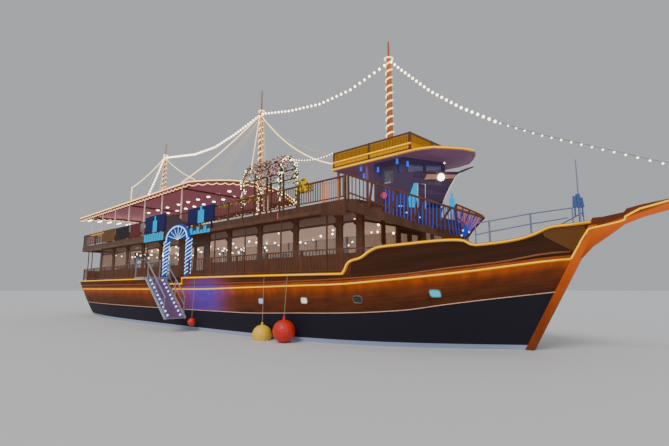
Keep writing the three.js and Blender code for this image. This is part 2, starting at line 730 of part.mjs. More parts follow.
function gangwayGeometry() {
  const start = [hinge[0], GANGWAY.y, hinge[2]];
  const end = [GANGWAY.x, GANGWAY.y, GANGWAY.z];
  const half = GANGWAY.width / 2;
  const at = (share, across, lift) => start.map((value, axis) => (
    THREE.MathUtils.lerp(value, end[axis], share) + [0, across, lift][axis]));
  const parts = [bar(at(TREAD.from, 0, -TREAD.below), at(1, 0, -TREAD.below), GANGWAY.width, TREAD.thick)];
  for (const side of [-half, half]) {
    parts.push(bar(at(0, side, 0), at(1, side, 0), GANGWAY_SIDE, GANGWAY.depth));
    for (const share of GANGWAY_POST.shares) {
      const [x, y, z] = at(share, side - GANGWAY_POST.size / 2, 0);
      parts.push(box([x, y, z], [x + GANGWAY_POST.size, y + GANGWAY_POST.size, z + GANGWAY.rail]));
    }
    for (const { from, to, lift, thick } of GANGWAY_RAILS) {
      parts.push(bar(at(from, side, lift), at(to, side, lift), thick));
    }
  }
  return join(...parts);
}
add('gangway', gangwayGeometry(), steel);

// Balustrades: posts with a top and a bottom rail along a list of points
function balustrade(points, options = {}) {
  const { height = RAIL_HEIGHT, pitch = 2400, top = 60, post = 76, low = 110, foundation = GAP } = options;
  const parts = [];
  points.slice(1).forEach((end, index) => {
    const start = points[index];
    const raise = (point, lift) => [point[0], point[1], point[2] + lift];
    parts.push(bar(raise(start, height - top / 2), raise(end, height - top / 2), top));
    parts.push(bar(raise(start, low), raise(end, low), top * 0.7));
    const run = new THREE.Vector3(...end).distanceTo(new THREE.Vector3(...start));
    const count = Math.max(1, Math.round(run / pitch));
    for (let place = 0; place <= count; place += 1) {
      const foot = start.map((value, axis) => value + ((end[axis] - value) * place) / count);
      parts.push(box(
        [foot[0] - post / 2, foot[1] - post / 2, foot[2] + foundation],
        [foot[0] + post / 2, foot[1] + post / 2, foot[2] + height + 8],
      ));
    }
  });
  return join(...parts);
}

// Main deck's side rails stand on the bulwark's cap
const CAP_MIDDLE = 55;           // the cap's middle lies this far inside the hull's side
const CAP_READ = 2500;           // height at which the hull's side is read for the rails
const capAt = (x, side) => [x, side * (halfAt(x, CAP_READ) - CAP_MIDDLE), sheerAt(x)];
const sideRails = [
  { name: 'side_rail_starboard_fore', side: -1, places: [-1100, 3000, 7000, 8900], runsOn: true },
  { name: 'side_rail_starboard_aft', side: -1, places: [-18300, -13000, -8000, -4150], runsOn: false },
  { name: 'side_rail_port', side: 1, places: [-18300, -13000, -8000, -3000, 3000, 7000, 8900], runsOn: true },
];
const SIDE_RAIL = { height: 890, pitch: 2500, post: 62, top: 48, foundation: -25 };
const RAIL_MEETS = { x: 10500, z: 3400 };     // where the rail's top meets the bulwark's cap
for (const { name, side, places, runsOn } of sideRails) {
  const points = places.map((x) => capAt(x, side));
  const parts = [balustrade(points, SIDE_RAIL)];
  if (runsOn) {
    const [x, y, z] = points[points.length - 1];
    const meeting = [RAIL_MEETS.x, side * (halfAt(RAIL_MEETS.x, RAIL_MEETS.z) - CAP_MIDDLE), RAIL_MEETS.z];
    parts.push(bar([x, y, z + SIDE_RAIL.height - SIDE_RAIL.top / 2], meeting, SIDE_RAIL.top));
  }
  add(name, seated(join(...parts), side < 0 ? starboardBulwark : bulwark), houseWood);
}

const upperDeck = box([UPPER_BACK, -UPPER_HALF, CEILING_Z], [UPPER_FRONT, UPPER_HALF, UPPER_Z]);
add('upper_deck', upperDeck, deckWood);

// Posts that carry the upper deck's edges, abreast of the saloon's wall posts, with the beam over them and
// the fascia below the deck's edge. inset is their least distance from the hull's side, and the starboard
// row leaves the way in free
const DECK_POST = { y: 3915, inset: 230, fore: 8060, rows: 11, stern: -18060, radius: 35 };
const EDGE_BEAM = { width: 110, depth: 100, below: 25 };     // below the deck, inside the fascia
const FASCIA = { low: 4800, thick: 65 };
const BRACKET = { width: 80, depth: 60 };                     // from each post's head out to the fascia

function deckPostsGeometry() {
  const beamZ = HEAD_Z - EDGE_BEAM.below - EDGE_BEAM.depth / 2;
  const places = Array.from({ length: DECK_POST.rows }, (_, index) => DECK_POST.fore - index * BAY_PITCH);
  places.push(DECK_POST.stern);
  const inner = UPPER_HALF - FASCIA.thick;
  const fasciaPlan = [
    [UPPER_BACK, -UPPER_HALF],
    [UPPER_FRONT, -UPPER_HALF],
    [UPPER_FRONT, -inner],
    [UPPER_BACK + FASCIA.thick, -inner],
    [UPPER_BACK + FASCIA.thick, inner],
    [UPPER_FRONT, inner],
    [UPPER_FRONT, UPPER_HALF],
    [UPPER_BACK, UPPER_HALF],
  ];
  const parts = [plate(fasciaPlan, FASCIA.low, HEAD_Z)];
  const ends = [];
  for (const side of [-1, 1]) {
    const tops = places.map((x) => [
      x,
      side * Math.min(DECK_POST.y, halfAt(x, DECK_Z) - DECK_POST.inset),
      beamZ,
    ]);
    for (const [index, [x, y, z]] of tops.entries()) {
      const atEntrance = side < 0 && x > ENTRANCE.back && x < ENTRANCE.front;
      if (!atEntrance) parts.push(rod([x, y, FLOOR_Z], [x, y, z], DECK_POST.radius, 8));
      if (index > 0) parts.push(bar(tops[index - 1], tops[index], EDGE_BEAM.width, EDGE_BEAM.depth));
      parts.push(bar([x, y, z], [x, side * (UPPER_HALF - FASCIA.thick / 2), z], BRACKET.width, BRACKET.depth));
    }
    ends.push(tops[tops.length - 1]);
  }
  parts.push(bar(ends[0], ends[1], EDGE_BEAM.width, EDGE_BEAM.depth));
  return join(...parts);
}
add('deck_posts', deckPostsGeometry(), houseWood);

// Stepped apron at the front of the upper deck, bow-shaped in plan, with the wheelhouse's plinth on it
const STEPS = 9;
const WHEELHOUSE = { back: 8400, shoulder: 10000, tip: 10720, half: 1300 };

function apronHalf(share) {
  return (UPPER_HALF - 40) * (1 - share) ** 0.7;
}

function bowOutline(back, tip, half, count) {
  const side = [];
  for (let index = 0; index <= count; index += 1) {
    const share = index / count;
    side.push([back + (tip - back) * share, half(share)]);
  }
  const other = side.slice(0, -1).reverse().map(([x, y]) => [x, -y]);
  return [...side, ...other];
}

const APRON_UNDER = 150;         // from the deck's edge or the tip down to the apron's lower face
const PLINTH_LOW = 4600;         // the wheelhouse's plinth reaches down into the apron's steps

function apronGeometry() {
  const run = (APRON_TIP - UPPER_FRONT) / STEPS;
  const drop = (UPPER_Z - APRON_TIP_Z) / STEPS;
  const start = UPPER_FRONT + GAP;
  const top = [];
  for (let index = 0; index < STEPS; index += 1) {
    const z = UPPER_Z - index * drop;
    top.push([Math.max(start, UPPER_FRONT + index * run), z], [UPPER_FRONT + (index + 1) * run, z]);
  }
  const steps = profile([
    ...top,
    [APRON_TIP, APRON_TIP_Z - APRON_UNDER],
    [start, CEILING_Z - APRON_UNDER],
  ], -UPPER_HALF, UPPER_HALF);
  const plan = plate(bowOutline(start, APRON_TIP, apronHalf, 10), APRON_TIP_Z - 500, UPPER_Z + 500);
  const plinth = plate([
    [start, -WHEELHOUSE.half],
    [WHEELHOUSE.shoulder, -WHEELHOUSE.half],
    [WHEELHOUSE.tip, 0],
    [WHEELHOUSE.shoulder, WHEELHOUSE.half],
    [start, WHEELHOUSE.half],
  ], PLINTH_LOW, UPPER_Z);
  return shape(solid(steps).intersect(solid(plan)).add(solid(plinth)));
}
const apron = apronGeometry();
add('apron', apron, deckWood);

// Balustrade round the apron, leaning out towards its tip
const APRON_RAIL = { chords: 5, inset: 60, within: 0.985, top: 65, low: 50, lowAt: 230, post: 60, into: 60 };

function apronRailGeometry() {
  const { chords, inset, within, top, low, lowAt, post, into } = APRON_RAIL;
  const parts = [];
  const place = (share, side) => {
    const across = side * apronHalf(share) * within;
    const foot = [
      THREE.MathUtils.lerp(UPPER_FRONT + inset, APRON_TIP - inset, share),
      across,
      THREE.MathUtils.lerp(UPPER_Z, APRON_TIP_Z, share),
    ];
    const head = [
      THREE.MathUtils.lerp(UPPER_FRONT + inset, APRON_RAIL_TIP, share),
      across,
      THREE.MathUtils.lerp(UPPER_Z + RAIL_HEIGHT, APRON_RAIL_TIP_Z, share),
    ];
    return { foot, head };
  };
  const lift = ([x, y, z], up) => [x, y, z + up];
  for (const side of [-1, 1]) {
    for (let index = 0; index < chords; index += 1) {
      const near = place(index / chords, side);
      const far = place((index + 1) / chords, side);
      parts.push(bar(near.head, far.head, top));
      parts.push(bar(lift(near.foot, lowAt), lift(far.foot, lowAt), low));
      parts.push(bar(lift(near.foot, -into), near.head, post));
    }
  }
  const tip = place(1, 1);
  parts.push(bar(lift(tip.foot, -into), tip.head, post));
  return seated(seated(join(...parts), apron), apron, [GAP, 0, 0]);
}
add('apron_rail', apronRailGeometry(), houseWood);

// Upper deck's balustrades
const RAIL_INSET = 60;
const RAIL_IN = UPPER_HALF - RAIL_INSET;
const RAIL_CORNER = 120;         // the stern rail ends this far short of the side rails
const upperRails = [
  { name: 'upper_rail_starboard', y: -RAIL_IN },
  { name: 'upper_rail_port', y: RAIL_IN },
];
for (const { name, y } of upperRails) {
  const ends = [[UPPER_BACK + RAIL_INSET, y, UPPER_Z], [UPPER_FRONT - RAIL_INSET, y, UPPER_Z]];
  add(name, balustrade(ends), houseWood);
}
add('upper_rail_stern', balustrade([
  [UPPER_BACK + RAIL_INSET, -RAIL_IN + RAIL_CORNER, UPPER_Z],
  [UPPER_BACK + RAIL_INSET, RAIL_IN - RAIL_CORNER, UPPER_Z],
]), houseWood);

// Canopy over the after part of the upper deck, and its rows of posts
function canopySection(lift) {
  const points = [];
  const count = 12;
  for (let index = 0; index <= count; index += 1) {
    const share = (2 * index) / count - 1;
    points.push([share * CANOPY_HALF, EAVE_Z + lift + (CROWN_Z - EAVE_Z) * (1 - share * share)]);
  }
  return points;
}
function canopyFall(x) {
  return CANOPY_SLOPE * (x - CANOPY_FRONT);
}

// Tilts a level piece under or in the canopy down towards the stern
function tilted(geometry) {
  const tilt = new THREE.Matrix4().set(
    1, 0, 0, 0,
    0, 1, 0, 0,
    CANOPY_SLOPE, 0, 1, -CANOPY_SLOPE * CANOPY_FRONT,
    0, 0, 0, 1,
  );
  return geometry.applyMatrix4(tilt);
}
const CANOPY_THICK = 120;
const CANOPY_LOW = EAVE_Z - CANOPY_THICK - 100;
const CANOPY_HIGH = CROWN_Z + 100;
const canopyOutline = [...canopySection(0), ...canopySection(-CANOPY_THICK).reverse()];
// The canopy's plan: straight sides and a front edge that is bowed forward
function canopyPlan() {
  const points = [[CANOPY_BACK, CANOPY_HALF], [CANOPY_BACK, -CANOPY_HALF]];
  const count = 16;
  for (let index = 0; index <= count; index += 1) {
    const share = (2 * index) / count - 1;
    points.push([CANOPY_FRONT + CANOPY_BOW * (1 - share * share), share * CANOPY_HALF]);
  }
  return points;
}
const canopySlab = solid(section(canopyOutline, CANOPY_BACK, CANOPY_FRONT + CANOPY_BOW));
const canopy = tilted(shape(canopySlab.intersect(solid(plate(canopyPlan(), CANOPY_LOW, CANOPY_HIGH)))));
add('canopy', canopy, canopyPaint);

const CANOPY_POST_Y = 3500;
const CANOPY_RAIL = { width: 80, depth: 200, aft: 400, fore: 100 };     // side beams on the posts' heads
const CANOPY_TIE = { width: 70, low: 180, high: 100 };                   // cross beams, below the side beams' tops
const CANOPY_POST_RADIUS = 45;
const SUNK = 20;                 // a foot starts this far inside what it is cut to
const CANOPY_POSTS = { fore: -3820, pitch: 2430, rows: 6, stern: -17950 };
const archShare = 1 - (CANOPY_POST_Y / CANOPY_HALF) ** 2;
const postTop = EAVE_Z - CANOPY_THICK + (CROWN_Z - EAVE_Z) * archShare + 40;

// Each post starts inside the deck and is cut to it once the frame is tilted with the canopy
function canopyFrameGeometry() {
  const parts = [];
  const { fore, pitch, rows, stern } = CANOPY_POSTS;
  const places = [...Array.from({ length: rows }, (_, index) => fore - index * pitch), stern];
  for (const side of [-1, 1]) {
    const y = side * CANOPY_POST_Y;
    parts.push(box(
      [CANOPY_BACK + CANOPY_RAIL.aft, y - CANOPY_RAIL.width / 2, postTop - CANOPY_RAIL.depth],
      [CANOPY_FRONT - CANOPY_RAIL.fore, y + CANOPY_RAIL.width / 2, postTop],
    ));
    for (const x of places) {
      parts.push(rod([x, y, UPPER_Z - SUNK], [x, y, postTop - CANOPY_RAIL.depth / 2], CANOPY_POST_RADIUS, 8));
    }
  }
  for (const x of [fore, places[3], stern]) {
    parts.push(box(
      [x - CANOPY_TIE.width / 2, -CANOPY_POST_Y, postTop - CANOPY_TIE.low],
      [x + CANOPY_TIE.width / 2, CANOPY_POST_Y, postTop - CANOPY_TIE.high],
    ));
  }
  return seated(seated(tilted(join(...parts)), canopy, [0, 0, -GAP]), upperDeck);
}
add('canopy_frame', canopyFrameGeometry(), whitePaint);

// Bridge roof: a plate with a pointed visor, a boat-shaped belly under the visor, and the lounge's posts
const roofOutline = [
  [BRIDGE_BACK, -BRIDGE_HALF],
  [10700, -BRIDGE_HALF],
  [11300, -1450],
  [11700, -1000],
  [12050, -500],
  [12200, 0],
  [12050, 500],
  [11700, 1000],
  [11300, 1450],
  [10700, BRIDGE_HALF],
  [BRIDGE_BACK, BRIDGE_HALF],
];
const ROOF_THICK = 110;
const bellyStations = [
  { x: 9700, half: 1500, low: 7190 },
  { x: 10150, half: 1550, low: 7110 },
  { x: 10570, half: 1560, low: 7060 },
  { x: 11040, half: 1450, low: 7010 },
  { x: 11420, half: 1220, low: 7035 },
  { x: 11790, half: 780, low: 7100 },
  { x: 12110, half: 250, low: 7180 },
];
const LOUNGE = { half: 1450, back: 6500, front: 8150, post: 45 };

// The belly's section: flat above, inside the roof's plate, and a shallow curve below
function bellyRing({ x, half, low }) {
  const count = 8;
  const ring = [[x, half, BRIDGE_ROOF_Z + 40], [x, -half, BRIDGE_ROOF_Z + 40]];
  for (let index = 0; index <= count; index += 1) {
    const share = (2 * index) / count - 1;
    ring.push([x, share * half, low + (BRIDGE_ROOF_Z + 5 - low) * share ** 2]);
  }
  return ring;
}

function bridgeRoofGeometry() {
  const parts = [
    plate(roofOutline, BRIDGE_ROOF_Z, BRIDGE_ROOF_Z + ROOF_THICK),
    skin(bellyStations.map(bellyRing)),
  ];
  const half = LOUNGE.post;
  for (const y of [-LOUNGE.half, LOUNGE.half]) {
    for (const x of [LOUNGE.back, LOUNGE.front]) {
      parts.push(box([x - half, y - half, UPPER_Z + GAP], [x + half, y + half, BRIDGE_ROOF_Z + 50]));
    }
  }
  return join(...parts);
}
const bridgeRoof = bridgeRoofGeometry();
add('bridge_roof', bridgeRoof, roofPaint);

// Wheelhouse: below, a small ship's bow whose stem flares forward as it rises; above the knuckle, a band of
// windows that is set back from it
const WH_FLOOR = UPPER_Z + GAP;
const WH_HEAD = BRIDGE_ROOF_Z - GAP;
const KNUCKLE_Z = 6520;
const PROW_DECK = 70;
const prowLevels = [
  { z: WH_FLOOR, tip: WHEELHOUSE.tip },
  { z: 5710, tip: 10980 },
  { z: 6030, tip: 11180 },
  { z: 6340, tip: 11410 },
  { z: KNUCKLE_Z, tip: 11660 },
];
const BAND = { shoulder: 9900, tip: 10980 };

const POINTED = 1.6;             // an inner plan's point lies this many wall thicknesses further in
const SHOULDER_RUN = 0.4;        // how far the shoulder moves forward for each unit the tip does

function prowPlan(z, shoulder, tip, inset) {
  const point = tip - inset * POINTED;
  const half = WHEELHOUSE.half - inset;
  return [
    [WHEELHOUSE.back, -half, z],
    [shoulder, -half, z],
    [point, 0, z],
    [shoulder, half, z],
    [WHEELHOUSE.back, half, z],
  ];
}

function prowSolid(inset, lower, upper) {
  const lifts = { 0: lower, [prowLevels.length - 1]: upper };
  return skin(prowLevels.map(({ z, tip }, index) => {
    const shoulder = WHEELHOUSE.shoulder + (tip - WHEELHOUSE.tip) * SHOULDER_RUN;
    return prowPlan(z + (lifts[index] ?? 0), shoulder, tip, inset);
  }));
}

function bandSolid(inset, low, high) {
  return skin([low, high].map((z) => prowPlan(z, BAND.shoulder, BAND.tip, inset)));
}

const WH_DOOR = { back: 8750, front: 9500, head: 7000 };
const BAND_GLASS = { low: 6590, high: 6960, width: 640, pitch: 740, sideBack: 9600, sideFront: 9840 };
const WH_GLASS = { low: 6250, high: 7000 };
const BACK_INNER = 1220;

function wheelhouseGeometry() {
  const past = WHEELHOUSE.half + THROUGH;
  const outer = solid(prowSolid(0, 0, 0)).add(solid(bandSolid(0, KNUCKLE_Z - 100, WH_HEAD)));
  const tools = [
    prowSolid(WALL, -THROUGH, -PROW_DECK),
    bandSolid(WALL, WH_FLOOR - THROUGH, WH_HEAD + THROUGH),
    box(
      [WHEELHOUSE.back - THROUGH, -BACK_INNER, WH_FLOOR - THROUGH],
      [WHEELHOUSE.back + 200, BACK_INNER, WH_HEAD + THROUGH],
    ),
    box([WH_DOOR.back, -past, WH_FLOOR - THROUGH], [WH_DOOR.front, past, WH_DOOR.head]),
    box([BAND_GLASS.sideBack, -past, BAND_GLASS.low], [BAND_GLASS.sideFront, past, BAND_GLASS.high]),
  ];
  const run = BAND.tip - BAND.shoulder;
  for (const side of [-1, 1]) {
    const turn = Math.atan2(-side * WHEELHOUSE.half, run);
    for (const place of [-1, 1]) {
      const middle = (place * BAND_GLASS.pitch) / 2;
      const pane = box(
        [middle - BAND_GLASS.width / 2, -150, BAND_GLASS.low],
        [middle + BAND_GLASS.width / 2, 150, BAND_GLASS.high],
      );
      const centre = [(BAND.tip + BAND.shoulder) / 2, (side * WHEELHOUSE.half) / 2];
      tools.push(pane.rotateZ(turn).translate(...centre, 0));
    }
  }
  return shape(tools.map(solid).reduce((whole, tool) => whole.subtract(tool), outer));
}

// Horn on the wheelhouse's prow
const hornOutline = [
  [11470, 6420],
  [11700, 6500],
  [12170, 6610],
  [12170, 6650],
  [11680, 6570],
  [11470, 6505],
];
const wheelhouse = join(wheelhouseGeometry(), profile(hornOutline, -30, 30));
add('wheelhouse', seated(wheelhouse, bridgeRoof, [0, 0, -GAP]), roofPaint);

const BACK_THICK = 70;
const backPanes = [[-1000, -150], [150, 1000]].map(([low, high]) => box(
  [WHEELHOUSE.back - THROUGH, low, WH_GLASS.low],
  [WHEELHOUSE.back + BACK_THICK + THROUGH, high, WH_GLASS.high],
));
add('wheelhouse_back', cut(
  box(
    [WHEELHOUSE.back, -BACK_INNER + GAP, WH_FLOOR],
    [WHEELHOUSE.back + BACK_THICK, BACK_INNER - GAP, WH_HEAD],
  ),
  ...backPanes,
), houseWood);

for (const [name, side] of [['wheelhouse_door_starboard', -1], ['wheelhouse_door_port', 1]]) {
  const middle = side * (WHEELHOUSE.half - WALL / 2);
  const leaf = box(
    [WH_DOOR.back + CLEAR, middle - LEAF / 2, WH_FLOOR + CLEAR],
    [WH_DOOR.front - CLEAR, middle + LEAF / 2, WH_DOOR.head - CLEAR],
  );
  const pane = box(
    [WH_DOOR.back + DOOR_STILE, middle - LEAF, WH_GLASS.low],
    [WH_DOOR.front - DOOR_STILE, middle + LEAF, WH_DOOR.head - DOOR_RAIL],
  );
  const pin = [WH_DOOR.front - CLEAR - PIVOT_INSET, middle];
  add(name, hungLeaf(leaf, pane, pin, WH_FLOOR, WH_DOOR.head - GAP), whitePaint);
}

// Parapet on the bridge roof
const PARAPET_FRONT = 10400;
const parapetBase = BRIDGE_ROOF_Z + ROOF_THICK;
add('parapet', balustrade([
  [BRIDGE_BACK + 60, -BRIDGE_HALF + 60, parapetBase],
  [PARAPET_FRONT, -BRIDGE_HALF + 60, parapetBase],
  [PARAPET_FRONT, BRIDGE_HALF - 60, parapetBase],
  [BRIDGE_BACK + 60, BRIDGE_HALF - 60, parapetBase],
  [BRIDGE_BACK + 60, -BRIDGE_HALF + 60, parapetBase],
], { height: 720, pitch: 1700, post: 74, top: 60, low: 60 }), houseWood);

// Masts, each cut to the deck, roof or canopy that it stands on
const MAST_TAPER = 0.75;         // a mast's radius under the lights, as a share of its foot's
const TOPMAST = { foot: 0.4, head: 0.25, into: 100 };
const masts = [
  { name: 'fore_mast', x: 8300, foot: BRIDGE_ROOF_Z + ROOF_THICK, on: bridgeRoof, lights: 12400, head: 13300,
    radius: 150 },
  { name: 'main_mast', x: -1200, foot: UPPER_Z, on: upperDeck, lights: 12560, head: 13900, radius: 130 },
  { name: 'aft_mast', x: -13600, foot: CROWN_Z + canopyFall(-13600), on: canopy, lights: 12400, head: 13400,
    radius: 120 },
];
const MAST_INTO = 50;            // a mast starts this far inside its seat and is cut to it
const mastShapes = {};
for (const { name, x, foot, on, lights, head, radius } of masts) {
  const lower = rod([x, 0, foot - MAST_INTO], [x, 0, lights], radius, 14, radius * MAST_TAPER);
  const upper = rod(
    [x, 0, lights - TOPMAST.into],
    [x, 0, head],
    radius * TOPMAST.foot,
    10,
    radius * TOPMAST.head,
  );
  mastShapes[name] = seated(join(lower, upper), on);
  add(name, mastShapes[name], stemWood);
}

// Main stays, hanging in shallow curves from masthead to masthead and out to the beak. Each starts inside the
// mast at its after end and is cut to both masts
const STAY_RADIUS = 14;
const stays = [
  { name: 'fore_stay', from: 'fore_mast', points: [
    [8360, 0, 12360], [8920, 0, 11790], [10410, 0, 10270], [11730, 0, 9180], [13290, 0, 8100],
    [14660, 0, 7310], [15870, 0, 6710], [16950, 0, 6170], [17880, 0, 5700], [19600, 0, 4925]] },
  { name: 'mid_stay', from: 'main_mast', to: 'fore_mast', points: [
    [-1160, 0, 12490], [1430, 0, 11950], [3830, 0, 11650], [5930, 0, 11750], [8250, 0, 12320]] },
  { name: 'aft_stay', from: 'aft_mast', to: 'main_mast', points: [
    [-13560, 0, 12330], [-8970, 0, 11620], [-6310, 0, 11560], [-3970, 0, 11900], [-1250, 0, 12480]] },
];
for (const { name, from, to, points } of stays) {
  let stay = seated(line(points, STAY_RADIUS, 5, 26), mastShapes[from], [GAP, 0, 0]);
  stay = to ? seated(stay, mastShapes[to], [-GAP, 0, 0]) : seated(stay, beak);
  add(name, stay, steel);
}

// Lattice ladders that lead from the mastheads down to the canopy's edge or the deck
const LADDER = { half: 170, narrow: 0.5, stile: 50, rung: 36 };
const ladders = [
  { name: 'main_ladder', head: [-1200 + 150, -60, 12100], foot: [700, -900, UPPER_Z - SUNK], rungs: 16 },
  { name: 'aft_ladder', head: [-13600 + 140, -60, 12000],
    foot: [-12200, -900, CROWN_Z + canopyFall(-12200) - 3 * SUNK], rungs: 9 },
];
for (const { name, head, foot, rungs } of ladders) {
  const { half, narrow, stile, rung } = LADDER;
  const parts = [-1, 1].map((side) => bar(
    [foot[0], foot[1] + side * half, foot[2]], [head[0], head[1] + side * half * narrow, head[2]], stile));
  for (let index = 1; index <= rungs; index += 1) {
    const share = index / (rungs + 1);
    const middle = foot.map((value, axis) => THREE.MathUtils.lerp(value, head[axis], share));
    const reach = half * THREE.MathUtils.lerp(1, narrow, share);
    parts.push(bar([middle[0], middle[1] - reach, middle[2]], [middle[0], middle[1] + reach, middle[2]], rung));
  }
  add(name, seated(seated(join(...parts), upperDeck), canopy), steel);
}

// Pergola on the open part of the upper deck: a tunnel of arches that leads forward, with rails along it
const PERGOLA = { back: 1600, front: 4450, arches: 4, middle: -2600, half: 500, spring: 7150, crown: 8000, bar: 60 };

function pergolaGeometry() {
  const { back, front, arches, middle, half, spring, crown, bar: thick } = PERGOLA;
  const turns = 6;
  const rim = (x) => Array.from({ length: turns + 1 }, (_, index) => {
    const angle = (Math.PI * index) / turns;
    return [x, middle + half * Math.cos(angle), spring + (crown - spring) * Math.sin(angle)];
  });
  const parts = [];
  for (let index = 0; index < arches; index += 1) {
    const x = THREE.MathUtils.lerp(back, front, index / (arches - 1));
    const points = rim(x);
    points.slice(1).forEach((end, place) => parts.push(bar(points[place], end, thick)));
    for (const side of [-1, 1]) {
      parts.push(bar([x, middle + side * half, UPPER_Z + GAP], [x, middle + side * half, spring], thick));
    }
  }
  for (const place of [0, 1, 3, 5, 6]) {
    parts.push(bar(rim(back)[place], rim(front)[place], thick * 0.8));
  }
  return join(...parts);
}
add('pergola', pergolaGeometry(), darkWood);

// Blank screens at the upper deck's starboard rail
const SCREEN = { half: 30, low: UPPER_Z + 130, arm: 40, armIn: 200 };
const screens = [
  { name: 'screen_aft', back: -7050, front: -4430, high: 6260 },
  { name: 'screen_fore', back: -1880, front: 640, high: 6130 },
];
for (const { name, back, front, high } of screens) {
  const { half, low, arm, armIn } = SCREEN;
  const y = -UPPER_HALF - half - GAP;
  const board = box([back, y - half, low], [front, y + half, high]);
  const feet = [back + armIn, front - armIn].map((x) => (
    box([x - arm, y - half, CEILING_Z], [x + arm, y + half, low + arm])));
  add(name, join(board, ...feet), panelPaint);
}

// Bow rails of two pipes on posts that stand on the bulwark's cap. Each pipe starts and ends on the cap too
const BOW_RAIL = { start: 13330, end: 15650, into: 30, post: 28, pipe: 20 };
const BOW_RAIL_ENDS = { startHigh: 4060, startMiddle: 3700, endHigh: 4520, endMiddle: 4200, short: 100 };
const bowPosts = [
  { x: 13680, high: 4130, middle: 3790 },
  { x: 14700, high: 4330, middle: 4010 },
];
for (const [name, side] of [['bow_rail_starboard', -1], ['bow_rail_port', 1]]) {
  const at = (x, z) => [x, side * (halfAt(x, sheerAt(x)) - CAP_MIDDLE), z];
  const onCap = (x) => at(x, sheerAt(x) - BOW_RAIL.into);
  const { startHigh, startMiddle, endHigh, endMiddle, short } = BOW_RAIL_ENDS;
  const upper = [onCap(BOW_RAIL.start), at(BOW_RAIL.start, startHigh)];
  const middle = [at(BOW_RAIL.start, startMiddle)];
  const parts = [];
  for (const { x, high, middle: half } of bowPosts) {
    parts.push(rod(onCap(x), at(x, high + BOW_RAIL.pipe), BOW_RAIL.post, 6));
    upper.push(at(x, high));
    middle.push(at(x, half));
  }
  upper.push(at(BOW_RAIL.end, endHigh), onCap(BOW_RAIL.end));
  middle.push(at(BOW_RAIL.end - short, endMiddle));
  for (const path of [upper, middle]) {
    path.slice(1).forEach((end, index) => parts.push(rod(path[index], end, BOW_RAIL.pipe, 6)));
  }
  add(name, seated(join(...parts), side < 0 ? starboardBulwark : bulwark), whitePaint);
}

// Jackstaff, upright on the starboard bulwark's cap
const JACKSTAFF = { x: 15790, inset: 75, into: 15, base: 4700, head: 6090, lap: 50, foot: 36, rod: 22, tip: 14 };
const jackstaffY = -(halfAt(JACKSTAFF.x, sheerAt(JACKSTAFF.x)) - JACKSTAFF.inset);
const jackstaffFoot = sheerAt(JACKSTAFF.x) - JACKSTAFF.into;
add('jackstaff', seated(join(
  rod([JACKSTAFF.x, jackstaffY, jackstaffFoot], [JACKSTAFF.x, jackstaffY, JACKSTAFF.base], JACKSTAFF.foot, 10),
  rod(
    [JACKSTAFF.x, jackstaffY, JACKSTAFF.base - JACKSTAFF.lap],
    [JACKSTAFF.x, jackstaffY, JACKSTAFF.head],
    JACKSTAFF.rod,
    8,
    JACKSTAFF.tip,
  ),
), starboardBulwark), steel);

// Ball fenders hung over the starboard side on their lanyards
const fenders = [
  { name: 'fender_red', x: 6350, y: -4350, z: 430, radius: 435, material: redRubber },
  { name: 'fender_yellow', x: 5010, y: -4350, z: 200, radius: 400, material: yellowRubber },
  { name: 'fender_small', x: -290, y: -4500, z: 440, radius: 190, material: redRubber },
];
const FENDER_HOOK_Z = 2540;
// The neck's and lanyard's places and sizes on a ball, as shares of its radius
const NECK = { from: 0.9, to: 1.25, foot: 0.14, head: 0.09, lanyard: 1.2 };
const LANYARD_RADIUS = 12;
for (const { name, x, y, z, radius, material } of fenders) {
  const anchor = [x, -halfAt(x, FENDER_HOOK_Z) - CAP_OVERHANG + 10, FENDER_HOOK_Z];
  const ball = new THREE.SphereGeometry(radius, 16, 10).translate(x, y, z);
  const neck = rod(
    [x, y, z + radius * NECK.from],
    [x, y, z + radius * NECK.to],
    radius * NECK.foot,
    8,
    radius * NECK.head,
  );
  const lanyard = rod([x, y, z + radius * NECK.lanyard], anchor, LANYARD_RADIUS, 6);
  add(name, seated(join(ball, neck, lanyard), starboardBulwark, [0, -GAP, 0]), material);
}

export default boat;
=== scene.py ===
"""Looks for the motorised timber dhow: smooth planking, glass, light strings, slats, furniture, flowers."""

import math
import random

import bpy
import numpy as np
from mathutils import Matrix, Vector


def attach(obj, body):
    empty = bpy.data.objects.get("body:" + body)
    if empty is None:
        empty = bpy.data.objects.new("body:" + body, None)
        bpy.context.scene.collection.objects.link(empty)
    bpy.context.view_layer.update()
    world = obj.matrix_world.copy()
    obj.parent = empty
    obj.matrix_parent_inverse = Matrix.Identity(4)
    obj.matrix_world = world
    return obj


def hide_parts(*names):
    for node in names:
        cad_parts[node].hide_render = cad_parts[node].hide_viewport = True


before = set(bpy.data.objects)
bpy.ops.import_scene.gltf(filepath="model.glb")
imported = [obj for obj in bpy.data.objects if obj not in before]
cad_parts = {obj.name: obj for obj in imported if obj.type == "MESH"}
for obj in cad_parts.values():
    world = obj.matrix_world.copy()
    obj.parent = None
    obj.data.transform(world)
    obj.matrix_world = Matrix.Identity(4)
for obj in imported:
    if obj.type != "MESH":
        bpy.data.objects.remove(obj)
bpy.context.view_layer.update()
random.seed(7)


def new_object(name, data):
    made = bpy.data.objects.new(name, data)
    bpy.context.scene.collection.objects.link(made)
    return made


# Camera at the photograph's place
camera = new_object("camera", bpy.data.cameras.new("camera"))
camera.data.lens = 24.0
camera.data.sensor_width = 36.0
camera.data.clip_end = 1000.0
camera.location = (19.70, -15.61, 2.05)
camera.rotation_euler = (math.radians(98.29), 0.0, math.radians(43.52))
bpy.context.scene.camera = camera


